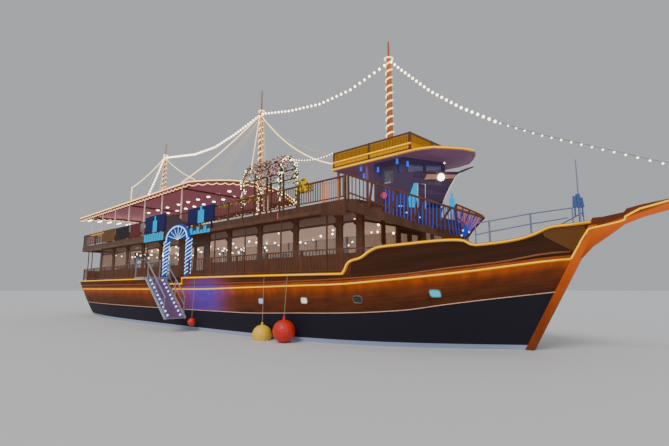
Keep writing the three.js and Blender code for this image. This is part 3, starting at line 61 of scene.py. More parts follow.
# Materials
def connect(tree, node, *rows):
    """Set a node's sockets. rows: (socket, a fixed value or the output that feeds it)."""
    for socket, value in rows:
        if isinstance(value, bpy.types.NodeSocket):
            tree.links.new(value, node.inputs[socket])
        else:
            node.inputs[socket].default_value = value


def add_node(tree, kind, *rows, **settings):
    """A new shader node, its sockets set as above."""
    made = tree.nodes.new("ShaderNode" + kind)
    for name, value in settings.items():
        setattr(made, name, value)
    connect(tree, made, *rows)
    return made


def ramp(tree, factor, stops):
    """A colour ramp. stops: (position, colour)."""
    made = add_node(tree, "ValToRGB", ("Fac", factor))
    elements = made.color_ramp.elements
    while len(elements) < len(stops):
        elements.new(1.0)
    for element, (position, color) in zip(elements, stops):
        element.position = position
        element.color = (*color, 1.0)
    return made.outputs["Color"]


def streaks(tree, source, stretch, detail, roughness=0.5):
    """Noise drawn out along the grain."""
    mapping = add_node(tree, "Mapping", ("Vector", source), ("Scale", stretch))
    noise = add_node(tree, "TexNoise", ("Vector", mapping.outputs["Vector"]), ("Scale", 1.0),
                     ("Detail", detail), ("Roughness", roughness))
    return noise.outputs["Fac"]


def smooth_range(tree, value, start, end, low, high):
    """From low, where the value is at start, smoothly to high, where it is at end."""
    made = add_node(tree, "MapRange", ("Value", value), ("From Min", start), ("From Max", end),
                    ("To Min", low), ("To Max", high), interpolation_type="SMOOTHSTEP")
    return made.outputs["Result"]


def arithmetic(tree, operation, *values):
    return add_node(tree, "Math", *enumerate(values), operation=operation).outputs["Value"]


def principled(name, color, roughness=0.5, metallic=0.0):
    made = bpy.data.materials.new(name)
    made.use_nodes = True
    tree = made.node_tree
    shader = tree.nodes["Principled BSDF"]
    connect(tree, shader, ("Base Color", (*color, 1.0)), ("Roughness", roughness), ("Metallic", metallic))
    return made, tree, shader


def add_emission(made, color, strength):
    shader = made.node_tree.nodes["Principled BSDF"]
    connect(made.node_tree, shader, ("Emission Color", (*color, 1.0)), ("Emission Strength", strength))


def plain(name, color, roughness=0.5, metallic=0.0):
    return principled(name, color, roughness, metallic)[0]


def light(name, color, strength):
    """A lamp or rope light that shows only its own colour."""
    made, tree, shader = principled(name, (0.0, 0.0, 0.0), 0.6)
    connect(tree, shader, ("Specular IOR Level", 0.0))
    add_emission(made, color, strength)
    return made


def lit(name, color, strength):
    """Paint, cloth or timber with the light of the lamps round it painted on as a glow."""
    made, tree, shader = principled(name, color, 0.6)
    connect(tree, shader, ("Specular IOR Level", 0.2))
    add_emission(made, color, strength)
    return made


def glass(name, color, alpha):
    made, tree, shader = principled(name, color, 0.05)
    connect(tree, shader, ("Alpha", alpha), ("Specular IOR Level", 0.8))
    return made


def wood(name, dark, bright, stretch, width=None, uv=False, roughness=0.42, coat=0.15):
    """Streaky wood. width: a plank's width across Y, or None for wood without seams."""
    made, tree, shader = principled(name, bright, roughness)
    connect(tree, shader, ("Coat Weight", coat), ("Coat Roughness", 0.25))
    source = add_node(tree, "TexCoord").outputs["UV" if uv else "Object"]
    grain = streaks(tree, source, stretch, 6.0, 0.62)
    color = ramp(tree, grain, [(0.32, dark), (0.68, bright)])
    if width:
        parts = add_node(tree, "SeparateXYZ", ("Vector", source))
        planks = arithmetic(tree, "DIVIDE", parts.outputs["Y"], width)
        seam = smooth_range(tree, arithmetic(tree, "FRACT", planks), 0.0, 0.1, 0.45, 1.0)
        shade = add_node(tree, "VectorMath", ("Vector", color), ("Scale", seam), operation="SCALE")
        color = shade.outputs["Vector"]
        bump = add_node(tree, "Bump", ("Strength", 0.5), ("Distance", 0.01), ("Height", seam))
        connect(tree, shader, ("Normal", bump.outputs["Normal"]))
    connect(tree, shader, ("Base Color", color))
    return made


PLANK_LINES = 12.0


def add_painted_plank_glow(made, color, stops, strength, spot, light_pool_color, reach):
    """Painted glow of the rope lights on the planks, streaky, with a painted pool of light of another colour
    near a spot. stops: (plank line, share of the strength).
    """
    tree = made.node_tree
    place = add_node(tree, "TexCoord")
    parts = add_node(tree, "SeparateXYZ", ("Vector", place.outputs["UV"]))
    share = arithmetic(tree, "DIVIDE", parts.outputs["Y"], PLANK_LINES)
    lines = ramp(tree, share, [(line / PLANK_LINES, [value * strength] * 3) for line, value in stops])
    grain = streaks(tree, place.outputs["UV"], (9.0, 0.12, 1.0), 3.0)
    product = arithmetic(tree, "MULTIPLY", lines, grain)
    apart = add_node(tree, "VectorMath", (0, place.outputs["Object"]), (1, spot), operation="DISTANCE")
    fall = smooth_range(tree, apart.outputs["Value"], 0.5, reach, 1.0, 0.0)
    tint = add_node(tree, "Mix", ("Factor", fall), ("A", (*color, 1.0)), ("B", (*light_pool_color, 1.0)),
                    data_type="RGBA")
    gain = arithmetic(tree, "MULTIPLY_ADD", fall, 0.3, product)
    connect(tree, tree.nodes["Principled BSDF"],
            ("Emission Color", tint.outputs["Result"]), ("Emission Strength", gain))


def add_painted_glow_band(made, color, direction, low, high, stops, strength):
    """Painted glow that changes from low to high along a direction. stops: (share of the way, of the
    strength).
    """
    tree = made.node_tree
    place = add_node(tree, "TexCoord").outputs["Object"]
    along = add_node(tree, "VectorMath", (0, place), (1, direction), operation="DOT_PRODUCT")
    share = add_node(tree, "MapRange", ("Value", along.outputs["Value"]),
                     ("From Min", low), ("From Max", high))
    levels = [(at, [value * strength] * 3) for at, value in stops]
    add_emission(made, color, ramp(tree, share.outputs["Result"], levels))


ROPE_ORANGE = (1.0, 0.16, 0.005)
HULL_GLOW_STOPS = [(0.0, 0.0), (3.0, 0.08), (5.5, 0.32), (7.0, 1.0), (7.9, 0.8), (8.4, 0.08), (12.0, 0.04)]
MATT = {"roughness": 0.7, "coat": 0.0}
HULL_WOOD = {"width": 1.0, "uv": True, **MATT}
topside = wood("topside_planks", (0.05, 0.015, 0.007), (0.13, 0.038, 0.013), (1.6, 0.35, 1.0), **HULL_WOOD)
# The strake's rope light painted on the planks as a glow, and a painted pool of blue light near one spot to
# starboard
add_painted_plank_glow(topside, (1.0, 0.17, 0.005), HULL_GLOW_STOPS, 0.55, (0.4, -4.5, 1.3), (0.1, 0.06, 0.9), 3.0)
bow_planks = wood("bow_planks", (0.02, 0.008, 0.005), (0.055, 0.02, 0.01), (0.9, 0.7, 1.0), **HULL_WOOD)
boot_paint = plain("boot_paint", (0.018, 0.016, 0.026), 0.7)
bottom_paint = plain("bottom_paint", (0.34, 0.4, 0.56), 0.5)
stem_wood = wood("stem_wood", (0.1, 0.02, 0.006), (0.22, 0.05, 0.012), (0.8, 6.0, 1.2), **MATT)
# The rope lights' orange glow painted on the stem, strongest at its top
add_painted_glow_band(stem_wood, ROPE_ORANGE, (0.0, 0.0, 1.0), 0.0, 3.3, [(0.0, 0.03), (0.4, 0.25), (1.0, 1.0)], 0.5)
beak_wood = wood("beak_wood", (0.08, 0.02, 0.008), (0.18, 0.045, 0.015), (0.8, 6.0, 1.2), **MATT)
# On the beak the painted glow lies under its rope light, which rises by 0.29 a metre
BEAK_STOPS = [(0.0, 0.15), (0.88, 1.0), (0.96, 0.05), (1.0, 0.02)]
add_painted_glow_band(beak_wood, ROPE_ORANGE, (-0.29, 0.0, 1.0), -1.7, -0.7, BEAK_STOPS, 0.6)
dark_wood = wood("dark_wood", (0.05, 0.022, 0.012), (0.1, 0.045, 0.025), (3.0, 3.0, 0.8))
house_wood = wood("house_wood", (0.07, 0.03, 0.018), (0.13, 0.058, 0.032), (1.5, 3.0, 1.5))
rail_wood = wood("rail_wood", (0.06, 0.025, 0.016), (0.12, 0.05, 0.03), (2.0, 3.0, 2.0))
deck_wood = wood("deck_wood", (0.26, 0.17, 0.1), (0.42, 0.3, 0.19), (0.7, 7.0, 7.0), 0.14,
                 roughness=0.6, coat=0.0)
mast_wood = wood("mast_wood", (0.3, 0.085, 0.025), (0.5, 0.17, 0.05), (5.0, 5.0, 0.6), coat=0.0)

# A warm glow painted on the timber for the rope lights round it: rows are (look, strength)
PAINTED_WARM_GLOW = [(bow_planks, 0.05), (dark_wood, 0.04), (house_wood, 0.06), (rail_wood, 0.1), (mast_wood, 0.12)]
for look, strength in PAINTED_WARM_GLOW:
    add_emission(look, (0.4, 0.13, 0.035), strength)
for look in (topside, boot_paint, stem_wood, beak_wood, *[row[0] for row in PAINTED_WARM_GLOW]):
    look.node_tree.nodes["Principled BSDF"].inputs["Specular IOR Level"].default_value = 0.15

canopy_paint = plain("canopy_paint", (0.22, 0.05, 0.045), 0.6)
roof_paint = lit("roof_paint", (0.2, 0.095, 0.18), 0.3)
house_paint = lit("house_paint", (0.065, 0.04, 0.085), 0.25)
metal = plain("gangway_metal", (0.5, 0.5, 0.56), 0.35, 0.8)
wire = plain("wire", (0.45, 0.43, 0.42), 0.4, 0.7)
lit_wire = lit("lit_wire", (0.62, 0.46, 0.3), 0.5)
post_paint = lit("post_paint", (0.72, 0.5, 0.46), 0.35)
rail_blue = plain("rail_blue", (0.2, 0.24, 0.36), 0.4, 0.4)
arch_paint = lit("arch_paint", (0.01, 0.04, 0.25), 0.6)
bronze = plain("bronze", (0.55, 0.33, 0.12), 0.35, 0.9)
screen = lit("screen", (0.008, 0.01, 0.07), 0.25)
red_rubber = plain("red_rubber", (0.62, 0.022, 0.01), 0.45)
yellow_rubber = plain("yellow_rubber", (0.86, 0.55, 0.04), 0.45)
cord = plain("lanyard_cord", (0.36, 0.26, 0.18), 0.8)
pane = glass("pane", (0.55, 0.66, 0.72), 0.16)
blue_pane = glass("blue_pane", (0.03, 0.07, 0.3), 0.6)
mauve_pane = glass("mauve_pane", (0.12, 0.06, 0.07), 0.8)
warm = light("warm_rope", (1.0, 0.53, 0.03), 1.6)
# A painted glow behind the rope lights, drawn as wider glowing tubes; it is no lamp
painted_halo = light("rope_halo", (1.0, 0.38, 0.0), 0.55)
cream = light("cream_rope", (1.0, 0.62, 0.26), 3.2)
bulb = light("bulb", (1.0, 0.85, 0.55), 6.0)
lamp = light("lamp", (1.0, 0.86, 0.68), 8.0)
cyan = light("cyan_bar", (0.0, 0.47, 0.9), 0.95)
ice = light("ice_lamp", (0.35, 0.62, 1.0), 2.6)
cloth = plain("table_cloth", (0.82, 0.8, 0.76), 0.8)

# Rows are (look, the solids that wear it)
NODE_LOOKS = [
    (stem_wood, ["stem_and_keel"]),
    (beak_wood, ["beak"]),
    (bronze, ["propeller"]),
    (dark_wood, ["transom_board", "rudder", "front_door_port", "front_door_starboard", "back_door",
                 "entrance_door_aft", "entrance_door_fore", "buffet", "upper_deck", "apron", "pergola"]),
    (house_wood, ["saloon_side_starboard_aft", "saloon_side_starboard_fore", "saloon_side_port",
                  "saloon_front", "saloon_back", "entrance_frame", "bench_port", "bench_starboard",
                  "deck_posts", "wheelhouse_back"]),
    (rail_wood, ["side_rail_starboard_fore", "side_rail_starboard_aft", "side_rail_port", "apron_rail",
                 "upper_rail_starboard", "upper_rail_port", "upper_rail_stern", "parapet"]),
    (arch_paint, ["entrance_arch"]),
    (metal, ["boarding_platform", "gangway"]),
    (canopy_paint, ["canopy"]),
    (post_paint, ["canopy_frame"]),
    (house_paint, ["wheelhouse", "wheelhouse_door_starboard", "wheelhouse_door_port"]),
    (roof_paint, ["bridge_roof"]),
    (mast_wood, ["fore_mast", "main_mast", "aft_mast"]),
    (wire, ["fore_stay", "mid_stay", "aft_stay"]),
    (lit_wire, ["main_ladder", "aft_ladder"]),
    (screen, ["screen_aft", "screen_fore"]),
    (rail_blue, ["bow_rail_starboard", "bow_rail_port", "jackstaff"]),
    (red_rubber, ["fender_red", "fender_small"]),
    (yellow_rubber, ["fender_yellow"]),
]
for look, nodes in NODE_LOOKS:
    for node in nodes:
        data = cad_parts[node].data
        data.materials.clear()
        data.materials.append(look)


def repaint_above(data, look, height):
    """Give a solid's faces above a height a second look."""
    data.materials.append(look)
    for polygon in data.polygons:
        if polygon.center.z > height:
            polygon.material_index = 1


# The canopy frame's beams are painted like the canopy, its posts are pale
repaint_above(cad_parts["canopy_frame"].data, canopy_paint, 7.45)

# The fenders' lanyards are cord: they stand above the ball and its neck
for node in ("fender_red", "fender_yellow", "fender_small"):
    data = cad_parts[node].data
    spots = np.array([vertex.co for vertex in data.vertices])
    repaint_above(data, cord, spots[:, 2].min() + 1.15 * np.ptp(spots[:, 1]))


# Shapes
def turns(sides):
    """Each place round a ring with the next one."""
    return [(k, (k + 1) % sides) for k in range(sides)]


def pairs(items):
    """Each item with the one after it."""
    return zip(items, items[1:])


def circle(count, start=0.0):
    """(cosine, sine) at even angles round a circle."""
    angles = [start + 2 * math.pi * k / count for k in range(count)]
    return [(math.cos(angle), math.sin(angle)) for angle in angles]


class Kit:
    """Many simple shapes gathered in one mesh."""

    def __init__(self):
        self.verts, self.faces, self.looks, self.smooth, self.uvs = [], [], [], [], []

    def add(self, verts, faces, smooth=False, look=0, uvs=None):
        base = len(self.verts)
        self.verts += [tuple(v) for v in verts]
        self.uvs += uvs or [(0.0, 0.0)] * len(verts)
        self.faces += [tuple(base + index for index in face) for face in faces]
        self.looks += [look] * len(faces)
        self.smooth += [smooth] * len(faces)
        return self

    def add_used(self, verts, faces, uvs, **extra):
        """Faces on a shared grid, without the points that they leave out."""
        used = sorted({index for face in faces for index in face})
        fresh = {index: place for place, index in enumerate(used)}
        return self.add([verts[i] for i in used], [tuple(fresh[i] for i in face) for face in faces],
                        uvs=[uvs[i] for i in used], **extra)

    def sheet(self, corners, **extra):
        """One flat face through its corners."""
        return self.add(corners, [tuple(range(len(corners)))], **extra)

    def pane(self, axis, place, low, high):
        """A flat pane across an axis: low and high are its corners on the two other axes."""
        corners = [(low[0], low[1]), (high[0], low[1]), (high[0], high[1]), (low[0], high[1])]
        return self.sheet([((place, u, v) if axis == "x" else (u, place, v)) for u, v in corners])

    def prism(self, near, far, look=0):
        """Two rings of equal length, joined and closed."""
        count = len(near)
        faces = [(i, n, count + n, count + i) for i, n in turns(count)]
        faces += [tuple(range(count - 1, -1, -1)), tuple(range(count, 2 * count))]
        return self.add([*near, *far], faces, look=look)

    def box(self, low, high, look=0):
        (x0, y0, z0), (x1, y1, z1) = low, high
        plan = [(x0, y0), (x0, y1), (x1, y1), (x1, y0)]
        return self.prism([(x, y, z0) for x, y in plan], [(x, y, z1) for x, y in plan], look)

    def bar(self, start, end, width, height=None):
        """A square bar from start to end: width across, height upward."""
        start, end = Vector(start), Vector(end)
        ahead = (end - start).normalized()
        upright = Vector((1, 0, 0)) if abs(ahead.z) > 0.95 else Vector((0, 0, 1))
        side = upright.cross(ahead).normalized() * width / 2
        up = ahead.cross(side).normalized() * (height or width) / 2
        ring = [side + up, -side + up, -side - up, side - up]
        return self.prism([start + v for v in ring], [end + v for v in ring])

    def tube(self, points, radius, sides=6, closed=False):
        points = [Vector(p) for p in points]
        count = len(points)
        verts, faces = [], []
        for i, point in enumerate(points):
            before = points[i - 1] if i or closed else point
            after = points[(i + 1) % count] if i + 1 < count or closed else point
            ahead = (after - before).normalized()
            upright = Vector((1, 0, 0)) if abs(ahead.z) > 0.9 else Vector((0, 0, 1))
            side = upright.cross(ahead).normalized()
            up = ahead.cross(side)
            verts += [point + (side * cosine + up * sine) * radius for cosine, sine in circle(sides)]
        for i in range(count if closed else count - 1):
            near, far = i * sides, (i + 1) % count * sides
            faces += [(near + k, near + n, far + n, far + k) for k, n in turns(sides)]
        if not closed:
            faces += [tuple(range(sides - 1, -1, -1)), tuple((count - 1) * sides + k for k in range(sides))]
        return self.add(verts, faces, smooth=True)

    def ball(self, centre, radius, rows=4, sides=8, squash=1.0, look=0):
        centre, tip = Vector(centre), Vector((0, 0, radius * squash))
        verts = [centre + tip]
        for row in range(1, rows):
            reach, rise = math.sin(math.pi * row / rows), math.cos(math.pi * row / rows) * squash
            verts += [centre + radius * Vector((reach * cosine, reach * sine, rise))
                      for cosine, sine in circle(sides)]
        verts.append(centre - tip)
        faces = [(0, 1 + k, 1 + n) for k, n in turns(sides)]
        for low in range(1, 1 + (rows - 2) * sides, sides):
            faces += [(low + k, low + sides + k, low + sides + n, low + n) for k, n in turns(sides)]
        low = 1 + (rows - 2) * sides
        faces += [(low + sides, low + n, low + k) for k, n in turns(sides)]
        return self.add(verts, faces, smooth=True, look=look)

    def piece(self, name, looks, body="boat", slot=None, replaces=()):
        mesh = bpy.data.meshes.new(name)
        mesh.from_pydata(self.verts, [], self.faces)
        for look in looks if isinstance(looks, (list, tuple)) else [looks]:
            mesh.materials.append(look)
        mesh.polygons.foreach_set("material_index", self.looks)
        mesh.polygons.foreach_set("use_smooth", self.smooth)
        layer = mesh.uv_layers.new(name="planks")
        corners = np.zeros(len(mesh.loops), dtype=np.int32)
        mesh.loops.foreach_get("vertex_index", corners)
        layer.data.foreach_set("uv", np.array(self.uvs, dtype=np.float32)[corners].ravel())
        mesh.update()
        made = new_object(name, mesh)
        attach(made, body)
        if replaces:
            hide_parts(*replaces)


def lerp(a, b, share):
    return a + (b - a) * share


def mix(start, end, share):
    return tuple(lerp(a, b, share) for a, b in zip(start, end))


def smooth_curve(rows):
    """A smooth function through (place, value) rows that doesn't overshoot between them."""
    xs = np.array([row[0] for row in rows], dtype=float)
    ys = np.array([row[1] for row in rows], dtype=float)
    steps = np.diff(xs)
    slopes = np.diff(ys) / steps
    tangents = np.zeros(len(xs))
    for i in range(1, len(xs) - 1):
        if slopes[i - 1] * slopes[i] > 0:
            w1 = 2 * steps[i] + steps[i - 1]
            w2 = steps[i] + 2 * steps[i - 1]
            tangents[i] = (w1 + w2) / (w1 / slopes[i - 1] + w2 / slopes[i])
    tangents[0], tangents[-1] = slopes[0], slopes[-1]

    def value(place):
        place = min(max(place, xs[0]), xs[-1])
        i = min(int(np.searchsorted(xs, place, side="right")) - 1, len(steps) - 1)
        t = (place - xs[i]) / steps[i]
        return float(
            ys[i] * (1 + 2 * t) * (1 - t) ** 2 + ys[i + 1] * t * t * (3 - 2 * t)
            + tangents[i] * steps[i] * t * (1 - t) ** 2 + tangents[i + 1] * steps[i] * t * t * (t - 1))

    return value




# Hull form: distance aft of the stem, half-breadth 3.6 m up, half-breadth at the water, fullness, keel height
STEM_X, STERN_AFT, STEM_DEPTH, STEM_HALF = 14.0, 32.3, 0.25, 0.11
STATIONS = [
    (0.25, 0.11, 0.11, 1.0, -1.5), (0.7, 0.9, 0.38, 1.0, -1.65), (1.3, 1.65, 0.8, 1.1, -1.75),
    (2.2, 2.52, 1.4, 1.25, -1.8), (3.2, 3.22, 2.03, 1.4, -1.8), (4.2, 3.74, 2.56, 1.55, -1.8),
    (5.25, 4.1, 2.995, 1.71, -1.8), (6.5, 4.29, 3.39, 2.0, -1.8),
    (8.5, 4.4, 3.8, 2.4, -1.8), (11.0, 4.45, 4.03, 2.8, -1.8), (15.0, 4.48, 4.12, 3.0, -1.8),
    (20.0, 4.48, 4.1, 2.8, -1.8), (24.5, 4.44, 3.95, 2.2, -1.8), (27.0, 4.38, 3.72, 1.8, -1.33),
    (29.5, 4.28, 3.35, 1.5, -0.87), (32.3, 4.08, 2.8, 1.3, -0.35),
]
top_half, water_half, fullness, keel_height = (
    smooth_curve([(row[0], row[column]) for row in STATIONS]) for column in (1, 2, 3, 4))
strake_z = smooth_curve([
    (-19.6, 1.975), (0, 2.0), (3.13, 2.06), (7.0, 2.145), (8.84, 2.19), (9.98, 2.27), (11.6, 2.42),
    (13.02, 2.585), (14.26, 2.78), (15.16, 2.935), (15.42, 2.97),
])
sheer_z = smooth_curve([
    (-22.6, 2.6), (-4.0, 2.59), (9.0, 2.58), (9.19, 2.85), (9.4, 3.01), (9.79, 3.1), (10.2, 3.32),
    (10.5, 3.43), (11.25, 3.49), (12.77, 3.58), (13.06, 3.555), (13.28, 3.415), (13.7, 3.45), (14.39, 3.575),
    (14.78, 3.72), (15.19, 3.935), (15.6, 4.015), (16.02, 4.125),
])
moulding_z = smooth_curve([
    (-19.6, 2.24), (3.33, 2.264), (6.95, 2.314), (8.82, 2.367), (10.98, 2.495), (12.48, 2.686),
    (13.79, 2.859), (14.99, 3.133), (15.4, 3.191),
])
boot_z = smooth_curve([
    (-19.0, 0.98), (3.2, 1.0), (6.72, 1.1), (8.53, 1.155), (10.67, 1.292), (12.18, 1.529), (13.52, 1.73),
    (14.85, 1.922),
])
PAINT_Z, DECK_Z, DECK_RISE, TOP_Z = 0.17, 2.45, 0.18, 3.6
ROUNDS = 12                      # enough for a place on a leaning station to settle


def smoothstep(value, low, high):
    share = min(max((value - low) / (high - low), 0.0), 1.0)
    return share * share * (3 - 2 * share)


def station_slope(aft):
    return 0.55 * (1 - smoothstep(aft, 0.0, 9.0)) - 0.3 * smoothstep(aft, 26.0, STERN_AFT)


def station_x(aft, z):
    return STEM_X - aft + station_slope(aft) * z


def aft_of(x, z):
    aft = STEM_X - x
    for _ in range(ROUNDS):
        aft = STEM_X - x + station_slope(aft) * z
    return aft


def half_at_station(aft, z):
    water = water_half(aft)
    if z < 0:
        depth = min(z / keel_height(aft), 1.0)
        return STEM_HALF + (water - STEM_HALF) * (1 - depth ** fullness(aft))
    return water + (top_half(aft) - water) * (z / TOP_Z) ** 0.8


def half_at(x, z):
    return half_at_station(aft_of(x, z), z)


def on_hull(x, z, side, out=0.0):
    return (x, side * (half_at(x, z) + out), z)


def at_station(line, aft):
    """Height of a line given by x where it crosses a leaning station."""
    z = 2.0
    for _ in range(ROUNDS):
        z = line(station_x(aft, z))
    return z


def deck_at(aft):
    """The deck's height at a station: level, then rising with the strake towards the bow."""
    return max(DECK_Z, strake_z(station_x(aft, 2.4)) + DECK_RISE)


# Planked hull, its decks and bulwarks
SECTIONS = [*[row[0] for row in STATIONS], *np.linspace(0.25, 1.6, 10), *np.linspace(1.9, 12.0, 36),
            *np.linspace(12.4, STERN_AFT, 42)]
SECTIONS = sorted({round(float(aft), 4) for aft in SECTIONS})
STRAKE_HALF, STRAKE_REACH = 0.085, 0.075
GRAIN_PER_METRE = 0.4
KEEL_SHARES = (1.0, 0.97, 0.92, 0.85, 0.75, 0.62, 0.5, 0.36, 0.22, 0.1)


def strake_reach(aft):
    """How far the strake stands proud: it fades out at the stem."""
    return STRAKE_REACH * smoothstep(aft, 0.3, 0.8)


def hull_rows(aft):
    """One side of the hull at a station: height, how far it stands proud, planks counted upward, look."""
    strake, boot, reach = at_station(strake_z, aft), at_station(boot_z, aft), strake_reach(aft)
    low, high = strake - STRAKE_HALF, strake + STRAKE_HALF
    rows = [(keel_height(aft) * share, 0.0, 0.0, 2) for share in KEEL_SHARES]
    rows += [(0.0, 0.0, 0.0, 2), (PAINT_Z, 0.0, 0.0, 2), (PAINT_Z, 0.0, 0.0, 1), (boot * 0.6, 0.0, 0.0, 1)]
    rows += [(boot, 0.0, 0.0, 1), (boot, 0.0, 0.0, 0)]
    rows += [(lerp(boot, low - 0.04, share), 0.0, 7 * share, 0) for share in (0.25, 0.5, 0.75, 1.0)]
    rows += [(low, reach, 7.2, 0), (high, reach, 7.8, 0)]
    rows += [(lerp(high + 0.04, deck_at(aft), share), 0.0, 8 + 4 * share, 0) for share in (0.0, 0.5, 1.0)]
    return rows


def cell(row, i, n, count, side):
    """The face between two rings of count points, from their place i to their place n."""
    a, b, c, d = row * count + i, row * count + n, (row + 1) * count + n, (row + 1) * count + i
    return (a, d, c, b) if side > 0 else (a, b, c, d)


def skin_hull():
    kit = Kit()
    rings = [[(station_x(aft, z), half_at_station(aft, z) + out, z, (GRAIN_PER_METRE * aft, v), look)
              for z, out, v, look in hull_rows(aft)] for aft in SECTIONS]
    looks = [point[4] for point in rings[0]]
    count = len(looks)
    uvs = [point[3] for ring in rings for point in ring]
    for side in (1, -1):
        verts = [(x, side * y, z) for ring in rings for x, y, z, _, _ in ring]
        for look in (0, 1, 2):
            faces = [cell(row, i, i + 1, count, side) for row in range(len(rings) - 1)
                     for i in range(count - 1) if looks[i] == looks[i + 1] == look]
            kit.add_used(verts, faces, uvs, smooth=True, look=look)
    for ring, step in ((rings[0], 1), (rings[-1], -1)):
        edge = [(x, y, z) for x, y, z, _, _ in ring] + [(x, -y, z) for x, y, z, _, _ in reversed(ring)]
        kit.add(edge, [tuple(range(len(edge)))[::step]])
    for (x0, y0, z0), (x1, y1, z1) in pairs([ring[0][:3] for ring in rings]):
        kit.sheet([(x0, y0, z0), (x0, -y0, z0), (x1, -y1, z1), (x1, y1, z1)], look=2)
    kit.piece("hull_planking", [topside, boot_paint, bottom_paint], slot="hull_planks", replaces=("hull",))


def skin_decks():
    kit = Kit()
    edge = [(station_x(aft, deck_at(aft)), half_at_station(aft, deck_at(aft)) - 0.01, deck_at(aft))
            for aft in SECTIONS]
    for (x0, y0, z0), (x1, y1, z1) in pairs(edge):
        kit.sheet([(x0, -y0, z0), (x0, y0, z0), (x1, y1, z1), (x1, -y1, z1)])
    kit.piece("deck_planking", deck_wood, slot="deck_planks")


def skin_bulwark(side, name, node):
    thick, over, cap = 0.11, 0.045, 0.07
    afts = {*SECTIONS, *[round(aft_of(x, sheer_z(x)), 4) for x in np.arange(9.0, 16.0, 0.08)]}
    afts = sorted(aft for aft in afts if aft >= STEM_DEPTH)
    verts, uvs = [], []
    for aft in afts:
        top, foot = at_station(sheer_z, aft), deck_at(aft)
        neck = max(top - cap, foot + 0.02)
        planks = max((neck - at_station(moulding_z, aft)) / 0.2, 0.1)
        rows = [(foot, 0.0, 0.0), (neck, 0.0, planks), (neck + 0.005, over, 0.5), (top, over, 0.6),
                (top, -thick - over, 1.5), (neck + 0.005, -thick - over, 1.6), (neck, -thick, planks),
                (foot, -thick, 0.0)]
        verts += [(station_x(aft, z), side * max(half_at_station(aft, z) + out, 0.004), z)
                  for z, out, _ in rows]
        uvs += [(GRAIN_PER_METRE * aft, v) for _, _, v in rows]
    fore = sum(1 for aft in afts if aft <= aft_of(9.4, 3.0))
    count = len(rows)
    kit = Kit()
    for look, span in ((1, range(0, fore)), (0, range(fore, len(afts) - 1))):
        faces = [cell(row, i, n, count, side) for row in span for i, n in turns(count)]
        kit.add_used(verts, faces, uvs, look=look)
    kit.piece(name, [topside, bow_planks], slot="hull_planks", replaces=(node,))


skin_hull()
skin_decks()
skin_bulwark(1, "bulwark_planking_port", "bulwark_port")
skin_bulwark(-1, "bulwark_planking_starboard", "bulwark_starboard")


# Lines along the hull: mouldings, the thin boot-top line and the rope lights
def hull_line(line, start, end, side, out, step=0.35, lift=0.0):
    count = max(2, int(abs(end - start) / step))
    return [on_hull(x, line(x) + lift, side, out) for x in np.linspace(start, end, count)]


ROPE, HALO = 0.024, 0.05
moulding, thin_line, ropes, halos = Kit(), Kit(), Kit(), Kit()


def hull_rope(points, side):
    """A rope light on the hull and a painted glow behind it, which lies nearer the planks."""
    ropes.tube(points, ROPE)
    halos.tube([(x, y - side * 0.054, z) for x, y, z in points], HALO, 8)


BEAK_ROPE = [(15.38, 2.97), (15.7, 3.52), (15.93, 3.86), (15.99, 3.89), (16.38, 3.95), (16.78, 4.02),
             (16.92, 4.06), (16.95, 4.16), (17.1, 4.24), (17.33, 4.35), (17.58, 4.4), (18.05, 4.5),
             (19.66, 4.86)]
# Ends of the rope lights along the sheer. The starboard one drops below the entrance
STERN_X, ENTRANCE_BACK, ENTRANCE_FRONT, BOW_X = -19.04, -3.95, -1.55, 16.0
DROP = [(ENTRANCE_BACK, 0.0), (-3.9, -0.3), (-1.6, -0.3), (ENTRANCE_FRONT, 0.0)]
CAP_OUT, CAP_DOWN = 0.045 + ROPE, 0.03
for side in (-1, 1):
    moulding.tube(hull_line(moulding_z, -18.95, 15.4, side, 0.0), 0.035)
    thin_line.tube(hull_line(boot_z, -18.56, 14.82, side, 0.0), 0.017, 4)
    hull_rope([on_hull(x, strake_z(x), side, strake_reach(aft_of(x, strake_z(x))) + ROPE)
               for x in np.linspace(-18.87, 15.36, 110)], side)
    stretches = [(STERN_X, BOW_X)]
    if side < 0:
        stretches = [(STERN_X, ENTRANCE_BACK), (ENTRANCE_FRONT, BOW_X)]
        hull_rope([on_hull(x, sheer_z(x) - CAP_DOWN + drop, side, CAP_OUT) for x, drop in DROP], side)
    for start, end in stretches:
        hull_rope(hull_line(sheer_z, start, end, side, CAP_OUT, 0.12 if end > 0 else 0.4, -CAP_DOWN), side)
    hull_rope([(x, side * (0.12 + ROPE), z) for x, z in BEAK_ROPE], side)
moulding.piece("hull_moulding", plain("moulding_timber", (0.26, 0.075, 0.02), 0.5), slot="stem_timber")
thin_line.piece("boot_top_line", lit("thin_line_paint", (0.7, 0.42, 0.32), 0.15), slot="white_paint")
ropes.piece("rope_lights_hull", warm)
halos.piece("rope_halo_hull", painted_halo)

# A panel of paler timber where the bulwark meets the stem, with the glow of the lamps round it painted on
knee = Kit()
KNEE_ROWS, KNEE_COLUMNS = 6, 12
for side in (-1, 1):
    grid = []
    for x in np.linspace(14.98, 15.86, KNEE_COLUMNS):
        high = sheer_z(x) - 0.1
        low = max(lerp(3.62, 3.2, min((x - 14.98) / 0.5, 1.0)), 3.2 + 1.3 * max(x - 15.5, 0.0))
        grid += [on_hull(x, lerp(low, high, k / (KNEE_ROWS - 1)), side, 0.03) for k in range(KNEE_ROWS)]
    knee.add(grid, [cell(column, row, row + 1, KNEE_ROWS, 1)
                    for column in range(KNEE_COLUMNS - 1) for row in range(KNEE_ROWS - 1)], smooth=True)
knee.piece("bow_knee", lit("knee_timber", (0.13, 0.05, 0.012), 0.25), slot="stem_timber")


# Hull ports: rounded frames with glass. Rows are (x, z, look of the glass)
def port_ring(x, z, side, half_width, half_height, out):
    ring = []
    for cosine, sine in circle(20):
        u = math.copysign(abs(cosine) ** 0.5, cosine) * half_width
        v = math.copysign(abs(sine) ** 0.5, sine) * half_height
        ring.append(on_hull(x + u, z + v, side, out))
    return ring


